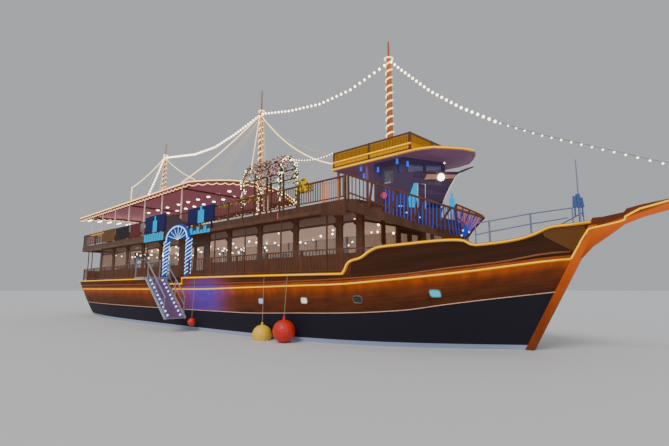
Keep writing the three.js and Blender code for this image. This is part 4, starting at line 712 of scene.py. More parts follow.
PORTS = [
    (4.668, 1.52, lit("port_dim", (0.5, 0.55, 0.75), 0.25)),
    (7.039, 1.58, lit("port_warm", (0.9, 0.7, 0.45), 0.7)),
    (9.35, 1.65, plain("port_dark", (0.03, 0.03, 0.03), 0.1)),
    (11.874, 1.871, light("port_cyan", (0.02, 0.6, 0.75), 1.1)),
]
frames = Kit()
port_panes = [Kit() for _ in PORTS]
for side in (-1, 1):
    for kit, (x, z, _) in zip(port_panes, PORTS):
        frames.tube(port_ring(x, z, side, 0.165, 0.125, 0.01), 0.024, closed=True)
        kit.sheet(port_ring(x, z, side, 0.16, 0.12, 0.012))
frames.piece("port_frames", plain("port_frame", (0.2, 0.15, 0.14), 0.4, 0.5), slot="stay_wire")
for kit, (_, _, look) in zip(port_panes, PORTS):
    kit.piece(look.name, look)

# Glass in every window of the saloon: the low lights and the row over them
SALOON_HALF, SALOON_FRONT_X, SALOON_BACK_X = 3.12, 9.205, -16.96
BAY_LEVELS = [(3.34, 4.51), (4.57, 4.91)]
BAY_START, BAY_PITCH, BAY_WIDTH = -16.8, 2.5, 2.2
port_bays = [(BAY_START + BAY_PITCH * k, BAY_START + BAY_PITCH * k + BAY_WIDTH) for k in range(10)]
port_bays += [(8.23, 8.94)]
starboard_bays = [bay for bay in port_bays if bay[1] < -3.9 or bay[0] > 0] + [(-1.3, 0.4)]
END_SPANS = [(SALOON_FRONT_X, 0.93, 1.7), (SALOON_FRONT_X, 1.88, 2.98),
             (SALOON_BACK_X, 0.7, 1.7), (SALOON_BACK_X, 1.88, 2.9)]
windows, lights_over = Kit(), Kit()
for kit, (low, high) in zip((windows, lights_over), BAY_LEVELS):
    for side, bays in ((1, port_bays), (-1, starboard_bays)):
        for start, end in bays:
            kit.pane("y", side * (SALOON_HALF - 0.04), (start - 0.01, low), (end + 0.01, high))
    for x, near, far in END_SPANS:
        for left, right in ((-far, -near), (near, far)):
            kit.pane("x", x, (left - 0.01, low), (right + 0.01, high))
windows.piece("saloon_glass", pane)
lights_over.piece("saloon_upper_glass", mauve_pane)

# Glass in the doors: rows are (body, axis across the pane, its place, low and high on the other two axes)
DOOR_PANES = [
    ("front_door_port", "x", SALOON_FRONT_X, (0.14, 3.34), (0.655, 4.28)),
    ("front_door_starboard", "x", SALOON_FRONT_X, (-0.655, 3.34), (-0.14, 4.28)),
    ("back_door", "x", SALOON_BACK_X, (-0.31, 3.34), (0.31, 4.28)),
    ("entrance_door_aft", "y", -3.08, (-3.64, 2.99), (-2.89, 4.28)),
    ("entrance_door_fore", "y", -3.08, (-2.61, 2.99), (-1.86, 4.28)),
    ("wheelhouse_door_starboard", "y", -1.26, (8.88, 6.24), (9.37, 6.83)),
    ("wheelhouse_door_port", "y", 1.26, (8.88, 6.24), (9.37, 6.83)),
]
for body, axis, place, low, high in DOOR_PANES:
    Kit().pane(axis, place, low, high).piece(body + "_glass", pane, body=body)

# Brackets in the corners of the low lights, and the deep board at the apron's sides
trim = Kit()
BRACKET_WIDTH, BRACKET_HEIGHT = 0.16, 0.14
APRON_BOARD = [(8.04, 4.71), (9.3, 4.6), (9.3, 5.16), (8.04, 5.19)]
for side, bays in ((1, port_bays), (-1, starboard_bays)):
    y = side * (SALOON_HALF + 0.012)
    for start, end in bays:
        for corner, tip in ((start, start + BRACKET_WIDTH), (end, end - BRACKET_WIDTH)):
            for z in (4.9, 4.5):
                bracket = [(corner, z), (tip, z), (corner, z - BRACKET_HEIGHT)]
                trim.prism(*[[(u, v, w) for u, w in bracket] for v in (y - side * 0.03, y)])
    trim.prism([(x, side * 4.052, z) for x, z in APRON_BOARD], [(x, side * 4.075, z) for x, z in APRON_BOARD])
trim.piece("house_trim", dark_wood, slot="dark_timber")


# Slats under every rail
def slats(kit, start, end, low, high, pitch, width, thick, skip=(0.0, 0.0)):
    """Upright slats from start to end, from low to high above that line. skip: a stretch of x without any."""
    start, end = Vector(start), Vector(end)
    count = max(1, int((end - start).length / pitch))
    along = (end - start).normalized() * width / 2
    side = Vector((-along.y, along.x, 0)).normalized() * thick / 2
    for k in range(count + 1):
        foot = start.lerp(end, (k + 0.5) / (count + 1))
        if not skip[0] < foot.x < skip[1]:
            ring = [foot + along + side, foot - along + side, foot - along - side, foot + along - side]
            kit.prism([v + Vector((0, 0, low)) for v in ring], [v + Vector((0, 0, high)) for v in ring])


UPPER_Z, UPPER_HALF = 5.2, 3.99
# A rail's slats: low, high, pitch, width and thickness
MAIN_SLATS, UPPER_SLATS = (0.1, 0.86, 0.16, 0.03, 0.02), (0.1, 0.84, 0.13, 0.035, 0.02)
NO_GAP, GATE_GAP = (0.0, 0.0), (8.05, 8.95)
# Posts of the main deck's rail on each side, in runs with a gap for the entrance to starboard
RAIL_RUNS = {
    -1: [(-18.3, -13.0, -8.0, -4.15), (-1.1, 3.0, 7.0, 8.9)],
    1: [(-18.3, -13.0, -8.0, -3.0, 3.0, 7.0, 8.9)],
}
rail_slats = Kit()
for side, runs in RAIL_RUNS.items():
    for near, far in [stretch for run in runs for stretch in pairs(run)]:
        ends = [(x, side * (half_at(x, 2.5) - 0.055), sheer_z(x)) for x in (near, far)]
        slats(rail_slats, *ends, *MAIN_SLATS)
    y, gap = side * UPPER_HALF, GATE_GAP if side < 0 else NO_GAP
    slats(rail_slats, (-18.1, y, UPPER_Z), (9.15, y, UPPER_Z), *UPPER_SLATS, gap)
slats(rail_slats, (-18.14, -3.85, UPPER_Z), (-18.14, 3.85, UPPER_Z), *UPPER_SLATS)

# The lit gate in the upper rail: its frame's rows are (x, z, x, z)
GATE_FRAME = [(8.1, 5.17, 8.1, 5.94), (8.9, 5.17, 8.9, 5.94), (8.1, 5.94, 8.9, 5.94), (8.1, 5.17, 8.9, 5.17)]
gate = Kit()
for x0, z0, x1, z1 in GATE_FRAME:
    gate.bar((x0, -4.03, z0), (x1, -4.03, z1), 0.05, 0.02)
slats(gate, (8.1, -UPPER_HALF, UPPER_Z), (8.9, -UPPER_HALF, UPPER_Z), 0.0, 0.72, 0.13, 0.035, 0.02)
gate.piece("lit_gate", lit("gate_glow", (0.5, 0.16, 0.03), 0.35))
rail_slats.piece("rail_slats", rail_wood, slot="rail_timber")


# The bow-shaped railing round the apron
APRON_CHORDS, APRON_STEPS, APRON_PITCH = 5, 1200, 0.13


def apron_place(share, side, lift):
    """A point of the apron's railing: lift 0 at its foot, 1 at its head."""
    foot = (lerp(9.31, 11.64, share), lerp(5.2, 3.9, share))
    head = (lerp(9.31, 12.5, share), lerp(6.08, 4.62, share))
    half = 4.01 * (1 - share) ** 0.7
    return (lerp(foot[0], head[0], lift), side * half * 0.985, lerp(foot[1], head[1], lift))


def apron_point(share, side, lift):
    """The same on the railing's straight chords."""
    step = min(int(share * APRON_CHORDS), APRON_CHORDS - 1)
    near, far = (apron_place(place / APRON_CHORDS, side, lift) for place in (step, step + 1))
    return mix(near, far, share * APRON_CHORDS - step)


apron_slats, blue_slats, pale_slats = Kit(), Kit(), Kit()
for side in (-1, 1):
    distance, last = 0.0, Vector(apron_point(0, side, 0.5))
    for k in range(1, APRON_STEPS):
        share = k / APRON_STEPS
        point = Vector(apron_point(share, side, 0.5))
        distance += (point - last).length
        last = point
        if distance < APRON_PITCH:
            continue
        distance = 0.0
        # The forward slats to starboard carry a painted blue light and the slats to port a painted rose light
        kit = pale_slats if side > 0 else apron_slats if share < 0.3 else blue_slats
        kit.bar(apron_point(min(share * 1.155, 1.0), side, 0.02), apron_point(share, side, 0.95), 0.032, 0.02)
apron_slats.piece("apron_slats", rail_wood, slot="rail_timber")
blue_slats.piece("apron_blue_slats", lit("blue_lit_timber", (0.03, 0.06, 0.6), 0.5))
pale_slats.piece("apron_port_slats", lit("rose_lit_timber", (0.5, 0.16, 0.1), 0.4))

PARAPET_Z = 7.31
PARAPET = [(6.36, -1.59), (10.4, -1.59), (10.4, 1.59), (6.36, 1.59), (6.36, -1.59)]
# All these slats and their backing carry a painted glow; the lower slats, between the two rope lights, are
# painted brighter and gold for the light there
parapet_slats, parapet_lit, parapet_back = Kit(), Kit(), Kit()
for (x0, y0), (x1, y1) in pairs(PARAPET):
    start, end = (x0, y0, PARAPET_Z), (x1, y1, PARAPET_Z)
    slats(parapet_lit, start, end, 0.0, 0.26, 0.075, 0.045, 0.02)
    slats(parapet_slats, start, end, 0.26, 0.68, 0.075, 0.04, 0.02)
    parapet_back.bar(*[(x * 0.996 + 0.03, y * 0.975, 7.63) for x, y in ((x0, y0), (x1, y1))], 0.012, 0.64)
parapet_back.piece("parapet_backing", lit("backing", (0.14, 0.07, 0.005), 0.3))
parapet_lit.piece("parapet_lit_slats", lit("gold_slats", (0.6, 0.3, 0.0), 0.6))
parapet_slats.piece("parapet_slats", lit("parapet_warm", (0.4, 0.17, 0.01), 0.3))

# Rope lights round the bridge roof and the parapet with painted glow tubes behind them, and on the canopy's
# edges
ROOF_EDGE = [(10.7, 1.66), (6.3, 1.66), (6.3, -1.66), (9.95, -1.67), (10.7, -1.67), (11.0, -1.6),
             (11.3, -1.47), (11.55, -1.22), (11.72, -1.0), (11.9, -0.76), (12.06, -0.5), (12.16, -0.25),
             (12.22, 0.0)]
PARAPET_EDGE = [(10.45, 1.63), (6.3, 1.63), (6.3, -1.65), (10.45, -1.65), (10.45, 1.63)]
ropes, roof_halos = Kit(), Kit()
for edge, z, radius in ((ROOF_EDGE, 7.255, 0.03), (PARAPET_EDGE, 7.57, 0.026)):
    ropes.tube([(x, y, z) for x, y in edge], radius)
    roof_halos.tube([(x - 0.05 * (x > 10.7) + 0.03 * (x < 6.4), y * 0.98, z) for x, y in edge], radius * 2, 8)

CANOPY_BACK, CANOPY_FRONT, CANOPY_BOW, CANOPY_HALF = -19.9, -2.5, 1.1, 3.85
EAVE_Z, CANOPY_CAMBER, CANOPY_SLOPE = 7.86, 0.38, 0.0095


def canopy_top(x, y):
    return EAVE_Z + CANOPY_CAMBER * (1 - (y / CANOPY_HALF) ** 2) + CANOPY_SLOPE * (x - CANOPY_FRONT)


def canopy_front(y):
    return CANOPY_FRONT + CANOPY_BOW * (1 - (y / CANOPY_HALF) ** 2)


def canopy_sides(count, out, lift):
    """Points along each side edge, out from it and lift above it: starboard first, both going forward."""
    return [[(x, side * (CANOPY_HALF + out), canopy_top(x, CANOPY_HALF) + lift)
             for x in np.linspace(CANOPY_BACK, CANOPY_FRONT, count)] for side in (-1, 1)]


def canopy_ends(count, out, lift):
    """Points along the front and the back edge, both going to port."""
    across = np.linspace(-CANOPY_HALF, CANOPY_HALF, count)
    return ([(canopy_front(y) + out, y, canopy_top(canopy_front(y), y) + lift) for y in across],
            [(CANOPY_BACK - out, y, canopy_top(CANOPY_BACK, y) + lift) for y in across])


cream_ropes = Kit()
starboard, port = canopy_sides(30, 0.02, -0.06)
front, back = canopy_ends(25, 0.02, -0.06)
cream_ropes.tube([*starboard, *front, *port[::-1], *back[::-1]], 0.03, closed=True)

# The canopy's lit underside
underside = Kit()
CEILING_DROP = 0.135
columns = np.linspace(-19.85, -2.6, 13)
for y0, y1 in pairs(np.linspace(-3.8, 3.8, 15)):
    edges = [[*columns, canopy_front(y) - 0.02] for y in (y0, y1)]
    for (a, d), (b, c) in pairs(list(zip(*edges))):
        corners = [(d, y1), (c, y1), (b, y0), (a, y0)]
        underside.sheet([(x, y, canopy_top(x, y) - CEILING_DROP) for x, y in corners], smooth=True)
underside.piece("canopy_ceiling", lit("ceiling_mauve", (0.26, 0.075, 0.1), 0.6))

# Scalloped valance below the canopy's edge, with its own thin rope light
valance, scallops = Kit(), Kit()
SCALLOP, SCALLOP_STEPS = 0.47, 8


def valance_run(points):
    """points: places on the canopy's lower edge, SCALLOP_STEPS for each scallop."""
    rope = [(x, y, z - 0.1 - 0.09 * abs(math.sin(math.pi * k / SCALLOP_STEPS)))
            for k, (x, y, z) in enumerate(points)]
    for (a, d), (b, c) in pairs(list(zip(points, rope))):
        valance.sheet([a, b, c, d])
    scallops.tube(rope, 0.016, 4)


def samples(length):
    return int(round(length / SCALLOP)) * SCALLOP_STEPS + 1


for run in canopy_sides(samples(17.4), 0.012, -0.12):
    valance_run(run)
for run in canopy_ends(samples(7.9), 0.01, -0.12)[::-1]:
    valance_run(run)
valance.piece("canopy_valance", canopy_paint, slot="canopy_paint")
scallops.piece("canopy_scallops", cream)

# Lamps under the canopy in two rows, and white tubes at its stern end
LAMPS = [
    (-15.11, -0.42), (-13.51, -0.42), (-11.91, -0.42), (-10.29, -0.38), (-8.98, -0.34), (-7.69, -0.32),
    (-6.45, -0.27), (-5.3, -0.25), (-4.03, -0.22),
    (-15.57, 0.7), (-14.07, 0.7), (-12.66, 0.73), (-11.33, 0.74), (-10.15, 0.78), (-8.88, 0.81),
    (-7.57, 0.83), (-6.42, 0.86), (-5.17, 0.9),
]
downlights = Kit()
for x, y in LAMPS:
    downlights.ball((x, y, canopy_top(x, y) - 0.15), 0.12, 4, 12, squash=0.4)
for y in np.linspace(-3.4, 3.4, 10):
    downlights.tube([(-19.5, y, 7.42), (-18.7, y, 7.42)], 0.04)
downlights.piece("canopy_lamps", lamp)

# Rope lights wound round the masts: rows are (x, foot, head, the mast's radius)
MASTS = [(8.3, 7.45, 12.4, 0.15), (-1.2, 5.3, 12.56, 0.13), (-13.6, 8.4, 12.4, 0.12)]
SPIRAL_PITCH, SPIRAL_STEPS = 0.37, 12
for x, foot, head, radius in MASTS:
    spiral = []
    for k in range(int((head - foot) / SPIRAL_PITCH * SPIRAL_STEPS) + 1):
        z = foot + k * SPIRAL_PITCH / SPIRAL_STEPS
        wound = radius * lerp(1.0, 0.75, (z - foot) / (head - foot)) + 0.022
        angle = 2 * math.pi * k / SPIRAL_STEPS
        spiral.append((x + wound * math.cos(angle), wound * math.sin(angle), z))
    cream_ropes.tube(spiral, 0.034)
    collar = radius + 0.04
    cream_ropes.tube([(x + collar * cosine, collar * sine, head + 0.05) for cosine, sine in circle(12)],
                     0.035, 5, closed=True)


# Lines that hang from the mastheads, and the bulbs spaced along them and along the stays
HANG_STEPS = 14


def spaced(points, spacing):
    """Points at even distances along a list of points."""
    made, rest = [], 0.0
    for start, end in pairs(points):
        start, end = Vector(start), Vector(end)
        length = (end - start).length
        while rest < length:
            made.append(tuple(start.lerp(end, rest / length)))
            rest += spacing
        rest -= length
    return made


def hang(start, end, sag):
    """A line from start to end that sags in between."""
    points = []
    for k in range(HANG_STEPS + 1):
        share = k / HANG_STEPS
        x, y, z = mix(start, end, share)
        points.append((x, y, z - 4 * sag * share * (1 - share)))
    return points


def under(stay):
    return [(x, 0.0, z - 0.05) for x, z in stay]


def front_edge(y):
    return (canopy_front(y) + 0.02, y, canopy_top(canopy_front(y), y) + 0.01)


def side_edge(x):
    return (x, -CANOPY_HALF - 0.02, canopy_top(x, CANOPY_HALF) + 0.01)


# The main stays seen from the side: rows are (x, z)
FORE_STAY = [(8.45, 12.3), (8.92, 11.79), (10.41, 10.27), (11.73, 9.18), (13.29, 8.1), (14.66, 7.31),
             (15.87, 6.71), (16.95, 6.17), (17.88, 5.7), (19.55, 4.95)]
MID_STAY = [(-1.1, 12.48), (1.43, 11.95), (3.83, 11.65), (5.93, 11.75), (8.2, 12.3)]
AFT_STAY = [(-13.5, 12.3), (-8.97, 11.62), (-6.31, 11.56), (-3.97, 11.9), (-1.3, 12.46)]
MAIN_HEAD, AFT_HEAD, LINE_BEND = (-1.25, -0.1, 12.35), (-13.6, -0.1, 12.25), (-9.85, -3.93, 8.6)
# Rope-light lines: rows are (start, end, sag, radius)
HANGING = [
    (MAIN_HEAD, side_edge(-3.24), 0.22, 0.03),
    (MAIN_HEAD, front_edge(-0.6), 0.04, 0.022),
    ((-1.1, -0.1, 12.3), (6.3, -1.53, 7.55), 0.57, 0.028),
    (AFT_HEAD, LINE_BEND, 0.18, 0.028),
    (LINE_BEND, side_edge(-10.0), 0.0, 0.028),
    ((-13.5, -0.1, 12.25), front_edge(-3.55), 0.16, 0.02),
]
for start, end, sag, radius in HANGING:
    cream_ropes.tube(hang(start, end, sag), radius, 5)
cream_ropes.piece("rope_lights_cream", cream)

# Festoon bulbs: rows are (the line they hang on, spacing, radius, a bulb's rows and sides)
FESTOONS = [
    (under(FORE_STAY[:5]), 0.27, 0.06, 5, 8),
    (under(FORE_STAY[4:]), 0.33, 0.031, 4, 8),
    (under(MID_STAY), 0.31, 0.062, 5, 8),
    (under(AFT_STAY), 0.27, 0.07, 5, 8),
    (hang(AFT_HEAD, side_edge(-7.35), 0.1), 0.5, 0.06, 5, 8),
    (hang((4.5, -2.35, 7.95), (6.4, -1.6, 8.06), 0.16), 0.14, 0.026, 4, 6),
]
bulbs = Kit()
for line, spacing, radius, rows, sides in FESTOONS:
    for point in spaced(line, spacing):
        bulbs.ball(point, radius, rows, sides)
bulbs.piece("festoon_bulbs", bulb)

# Thin lines: rows are (start, end, sag)
THIN_LINES = [
    *[((-1.3, -0.1, 12.1), front_edge(y), 0.12) for y in (-3.05, -2.8, -2.55, -2.3)],
    (AFT_HEAD, side_edge(-12.4), 0.0),
    (AFT_HEAD, side_edge(-8.75), 0.1),
    (AFT_HEAD, side_edge(-8.35), 0.1),
    ((-13.5, -0.1, 12.2), front_edge(-3.7), 0.1),
    ((-1.1, -0.1, 12.25), (6.4, -1.6, 7.98), 0.5),
    ((4.2, -2.6, 6.88), (6.3, -1.5, 7.2), 0.02),
]
shrouds = Kit()
for start, end, sag in THIN_LINES:
    shrouds.tube(hang(start, end, sag), 0.012, 4)
shrouds.piece("shrouds", lit_wire, slot="stay_wire")

# A thin line of light on the apron's port rail
port_rail = [apron_point(share, 1, 1.0) for share in np.linspace(0.0, 1.0, 26)]
apron_line = Kit()
apron_line.tube([(x, y, z + 0.045) for x, y, z in port_rail], 0.014, 4)
apron_line.piece("apron_port_light", light("rose_line", (1.0, 0.4, 0.25), 0.7))
ropes.piece("rope_lights_above", warm)
roof_halos.piece("rope_halo_above", painted_halo)

# Inside the saloon: a lit ceiling with lamps, laid tables, chairs in covers, and curtains
ceiling = Kit().box((-16.9, -3.0, 4.9), (9.1, 3.0, 4.94))
ceiling.piece("saloon_ceiling", lit("soft_lamp", (0.9, 0.62, 0.45), 0.3))
lamps = Kit()
for _ in range(110):
    place = [random.uniform(a, b) for a, b in ((-16.5, 8.9), (-2.7, 2.7), (4.3, 4.82))]
    lamps.ball(place, random.uniform(0.03, 0.055))
lamps.piece("saloon_lamps", lamp)

SALOON_FLOOR = 2.5
CHAIRS = [(-0.68, 0.5), (0.68, -0.5), (-0.68, -0.5), (0.68, 0.5)]
tables, covers = Kit(), Kit()
for k in range(13):
    x = -15.6 + 1.85 * k
    for y in (-1.75, 1.75):
        # None stand inside the entrance, on the starboard side
        if y < 0 and -5.0 < x < -0.5:
            continue
        tables.box((x - 0.42, y - 0.42, SALOON_FLOOR), (x + 0.42, y + 0.42, 3.24))
        for dx, dy in CHAIRS:
            look = int((k + (dx > 0)) % 3 == 0)
            covers.box((x + dx - 0.2, y + dy - 0.2, SALOON_FLOOR), (x + dx + 0.2, y + dy + 0.2, 2.95), look)
            back = x + dx + math.copysign(0.2, dx)
            covers.box((back - 0.04, y + dy - 0.21, 2.9), (back + 0.04, y + dy + 0.21, 3.6), look)
tables.piece("saloon_tables", cloth)
covers.piece("saloon_chairs", [plain("chair_cover", (0.1, 0.3, 0.62), 0.7), cloth])

CURTAIN_FOOT, CURTAIN_HEAD = 3.3, 4.9
curtains = Kit()
for start, end in port_bays:
    folds = [(x, 2.95 + 0.025 * math.sin(18 * x)) for x in np.linspace(start - 0.05, end + 0.05, 45)]
    for (x0, y0), (x1, y1) in pairs(folds):
        curtains.sheet([(x0, y0, CURTAIN_FOOT), (x1, y1, CURTAIN_FOOT),
                        (x1, y1, CURTAIN_HEAD), (x0, y0, CURTAIN_HEAD)])
for near, far in ((-3.0, -0.6), (0.6, 3.0)):
    curtains.pane("x", -16.85, (near, CURTAIN_FOOT), (far, CURTAIN_HEAD))
curtains.piece("saloon_curtains", lit("curtain", (0.42, 0.29, 0.2), 0.25))

# Entrance arch: lights wound round its columns, and a glazed half-round head with white ribs
ARCH_X, ARCH_Y, ARCH_SPRING, ARCH_REACH, ARCH_RISE = -2.615, -4.23, 4.6, 1.13, 0.68
COLUMN_RADIUS = 0.145
spirals = Kit()
for x in (-3.83, -1.4):
    for start in (0.0, 2 * math.pi / 3, 4 * math.pi / 3):
        spirals.tube([(x + COLUMN_RADIUS * math.cos(a + start), ARCH_Y + COLUMN_RADIUS * math.sin(a + start),
                       2.75 + a * 0.09) for a in np.arange(0.0, 20.5, 2 * math.pi / 12)], 0.022, 5)
rim = [(ARCH_X + ARCH_REACH * math.cos(a), ARCH_Y, ARCH_SPRING + ARCH_RISE * math.sin(a))
       for a in np.linspace(0, math.pi, 17)]
for point in rim[2:-1:2]:
    spirals.tube([(ARCH_X, ARCH_Y, ARCH_SPRING), point], 0.012, 5)
spirals.tube([(x, -4.32, z + 0.02) for x, _, z in rim], 0.026, 5)
spirals.piece("arch_lights", ice)
Kit().sheet(rim).piece("arch_glass", lit("arch_blue", (0.01, 0.035, 0.16), 0.5))

# Blank light bars on the screens: rows are (start, end, foot, the two heights that alternate, how many)
SIGN_ROWS = [
    (-7.0, -4.42, 4.8, (0.4, 0.4), 8), (-1.86, 0.5, 4.82, (0.12, 0.3), 7),
    (-5.9, -5.36, 5.34, (0.6, 0.86), 3), (-0.78, -0.16, 5.36, (0.6, 0.8), 3),
]
SIGN_BACK, SIGN_FACE = -4.115, -4.15
bars = Kit()
for start, end, low, heights, count in SIGN_ROWS:
    pitch = (end - start) / count
    for k in range(count):
        near = start + k * pitch
        bars.box((near, SIGN_FACE, low), (near + pitch * 0.62, SIGN_BACK, low + heights[k % 2]))
    bars.box((start, SIGN_FACE, low - 0.05), (end - pitch * 0.38, SIGN_BACK, low))
bars.piece("sign_bars", cyan)

# Gangway: reddish treads and two rows of small lamps, which tip with it
TREADS = 40
treads, leds = Kit(), Kit()
for k in range(TREADS):
    x, z = mix((-2.64, 2.535), (-0.35, 0.65), lerp(0.05, 0.99, k / (TREADS - 1)))
    treads.box((x - 0.02, -5.74, z + 0.012), (x + 0.02, -4.86, z + 0.03))
    if k % 4 == 2:
        for y in (-5.66, -5.03):
            leds.ball((x, y, z + 0.09), 0.05)
treads.piece("gangway_tread", lit("tread_red", (0.15, 0.045, 0.16), 0.5), body="gangway")
leds.piece("gangway_lamps", ice, body="gangway")

# Bridge: panes, door frame lines, lamps, a painted pool of lamplight and the white line along the
# wheelhouse's stem
PANE_FOOT, PANE_HEAD = 6.58, 6.97
bridge_glass = Kit()
for side in (-1, 1):
    run = Vector((10.98 - 9.9, -side * 1.3, 0)).normalized()
    out = Vector((run.y, -run.x, 0)) * (1 if side < 0 else -1)
    middle = Vector((10.44, side * 0.65, 0)) - out * 0.04
    for shift in (-0.37, 0.37):
        near, far = middle + run * (shift - 0.33), middle + run * (shift + 0.33)
        bridge_glass.sheet([(near.x, near.y, PANE_FOOT), (far.x, far.y, PANE_FOOT),
                            (far.x, far.y, PANE_HEAD), (near.x, near.y, PANE_HEAD)])
    bridge_glass.pane("y", side * 1.26, (9.59, PANE_FOOT), (9.85, PANE_HEAD))
    left, right = sorted((side * 0.14, side * 1.01))
    bridge_glass.pane("x", 8.435, (left, 6.24), (right, 7.01))
bridge_glass.piece("bridge_glass", blue_pane)
PROW_TIPS = [(5.2, 10.72), (5.71, 10.98), (6.03, 11.18), (6.34, 11.41), (6.52, 11.66)]


def prow_point(share, z):
    """A place on the wheelhouse's starboard bow panel: share 0 at the shoulder, 1 at the stem."""
    tip = np.interp(z, [row[0] for row in PROW_TIPS], [row[1] for row in PROW_TIPS])
    shoulder = 10.0 + (tip - 10.72) * 0.4
    return Vector((lerp(shoulder, tip, share) + 0.012, lerp(-1.3, 0.0, share) - 0.012, z))


STEM_LINE = [(10.74, 5.2), (10.99, 5.7), (11.2, 6.04), (11.43, 6.35), (11.69, 6.53), (12.18, 6.66)]
PROW_DOOR = [(0.31, 5.12), (0.165, 6.08), (0.36, 6.05), (0.53, 5.12)]
PROW_PAINTED_GLOW = [(0.3, 6.22), (0.98, 6.3), (0.98, 6.42), (0.3, 6.42)]
lines = Kit()
lines.tube([(x, 0.0, z) for x, z in STEM_LINE], 0.026)
lines.tube([prow_point(share, z) for share, z in PROW_DOOR], 0.016, 5)
lines.piece("bridge_white_lines", lit("rose_white", (0.85, 0.68, 0.66), 0.4))
# A painted pool of the bridge lamp's warm light on the bow panel round it
glow = Kit().sheet([prow_point(share, z) for share, z in PROW_PAINTED_GLOW])
glow.piece("prow_glow", lit("peach_glow", (0.34, 0.17, 0.12), 0.6))
Kit().ball(prow_point(0.66, 6.33), 0.15, 5, 10).ball((10.93, 0.0, 6.99), 0.05).piece("bridge_lamps", lamp)

BLUE_LAMPS = [(7.81, -1.45, 7.02), (7.97, -1.45, 6.68), (8.72, -1.45, 6.81), (9.68, -1.45, 6.97),
              (10.14, -1.4, 6.79)]
blues = Kit()
for x, y, z in BLUE_LAMPS:
    blues.ball((x, y, z), 0.06)
    blues.box((x - 0.03, y - 0.03, z - 0.05), (x + 0.03, y + 0.03, min(z + 0.16, 7.15)))
blues.piece("blue_lamps", light("blue_lamp", (0.02, 0.12, 1.0), 1.2))

# Two plain light bars on the bridge. Their rows are (height, near and far share) and (foot, head, half-width)
PROW_BAR = [(5.15, 0.05, 0.22), (5.5, 0.0, 0.24), (6.08, 0.07, 0.15)]
DECK_BAR = [(5.03, 5.3, 0.06), (5.3, 5.6, 0.08), (5.6, 5.82, 0.035)]
figures = Kit()
ahead = Vector((0.02, -0.02, 0.0))
for (z0, near0, far0), (z1, near1, far1) in pairs(PROW_BAR):
    corners = ((near0, z0), (far0, z0), (far1, z1), (near1, z1))
    figures.sheet([prow_point(share, z) + ahead for share, z in corners])
for low, high, half in DECK_BAR:
    figures.box((11.03 - half, 0.35 - half, low), (11.03 + half, 0.35 + half, high))
figures.piece("bridge_light_bars", cyan)


# The steering wheel and its spokes
def wheel_point(cosine, sine, reach):
    return (9.25 + reach * cosine, -0.75, 6.4 + reach * sine)


wheel = Kit()
wheel.tube([wheel_point(cosine, sine, 0.24) for cosine, sine in circle(16)], 0.022, 5, closed=True)
for cosine, sine in circle(8)[:4]:
    wheel.bar(wheel_point(cosine, sine, -0.33), wheel_point(cosine, sine, 0.33), 0.025)
wheel.piece("steering_wheel", rail_wood, slot="rail_timber")

# Small lamps on the apron's steps, none of them in the wheelhouse door's swing
STEP_LAMPS = [(9.7, -2.2, 5.08), (10.1, -1.5, 4.9), (10.5, -1.2, 4.7), (11.73, -0.3, 4.0),
              (11.79, -0.3, 4.18), (12.03, -0.3, 4.1)]
steps = Kit()
for share in [k / 15 for k in range(16)]:
    x, z = mix((8.18, 5.49), (9.88, 5.21), share)
    if not 8.7 < x < 9.55:
        steps.ball((x, -1.335, z), 0.02, 3, 6)
for place in STEP_LAMPS:
    steps.ball(place, 0.035, 4, 6)
steps.piece("step_lamps", ice)
rose = Kit().ball((9.0, -1.45, 5.75), 0.13, 5, 10).box((5.46, -4.06, 4.87), (5.52, -4.052, 5.12))
rose.piece("rose_lamp", light("pink_lamp", (0.9, 0.08, 0.2), 0.8))
WEDGE = [(-4.3, 5.22), (-1.95, 5.22), (-1.95, 5.38), (-3.4, 6.08), (-4.3, 6.08)]
wedge = Kit().prism([(x, -4.085, z) for x, z in WEDGE], [(x, -4.1, z) for x, z in WEDGE])
wedge.piece("arch_cloth", plain("dark_cloth", (0.05, 0.02, 0.03), 0.7))

# Flowers and leaves over the pergola, and on the rail beside it. A flower's look is its place in this list
FLOWER_LOOKS = [
    plain("leaves", (0.1, 0.2, 0.05), 0.7), plain("blossom_white", (0.8, 0.74, 0.6), 0.6),
    plain("blossom_pink", (0.78, 0.3, 0.34), 0.6), bulb, lit("blossom_yellow", (0.6, 0.36, 0.0), 0.5),
]
PERGOLA_BACK, PERGOLA_FRONT, PERGOLA_Y, PERGOLA_HALF = 1.6, 4.45, -2.6, 0.5
PERGOLA_SPRING, PERGOLA_CROWN = 7.15, 8.0
rng = np.random.default_rng(7)
blossom = Kit()


def pergola_point(x, angle, out=0.0):
    reach, rise = PERGOLA_HALF + out, PERGOLA_CROWN - PERGOLA_SPRING + out
    return (x, PERGOLA_Y + reach * math.cos(angle), PERGOLA_SPRING + rise * math.sin(angle))


def flower(place, size, looks):
    """A small ball, its radius and look drawn at random."""
    blossom.ball(place, rng.uniform(*size), 3, 5, look=int(rng.choice(looks)))


for _ in range(950):
    x = rng.uniform(PERGOLA_BACK - 0.05, PERGOLA_FRONT + 0.05)
    place = pergola_point(x, rng.uniform(-0.2, math.pi + 0.2), rng.uniform(-0.05, 0.16))
    flower(place, (0.02, 0.05), [0, 0, 1, 2, 2, 2])
for x in (PERGOLA_BACK, PERGOLA_FRONT):
    for _ in range(330):
        side = rng.choice([-1, 1])
        z = rng.uniform(5.9, 7.2)
        place = (x + rng.normal(0, 0.06), PERGOLA_Y + side * PERGOLA_HALF + rng.normal(0, 0.06), z)
        flower(place, (0.015, 0.04), [0, 0, 0, 1, 3])
    for _ in range(150):
        place = pergola_point(x + rng.normal(0, 0.05), rng.uniform(0, math.pi), rng.normal(0, 0.05))
        flower(place, (0.02, 0.04), [0, 0, 1, 3])

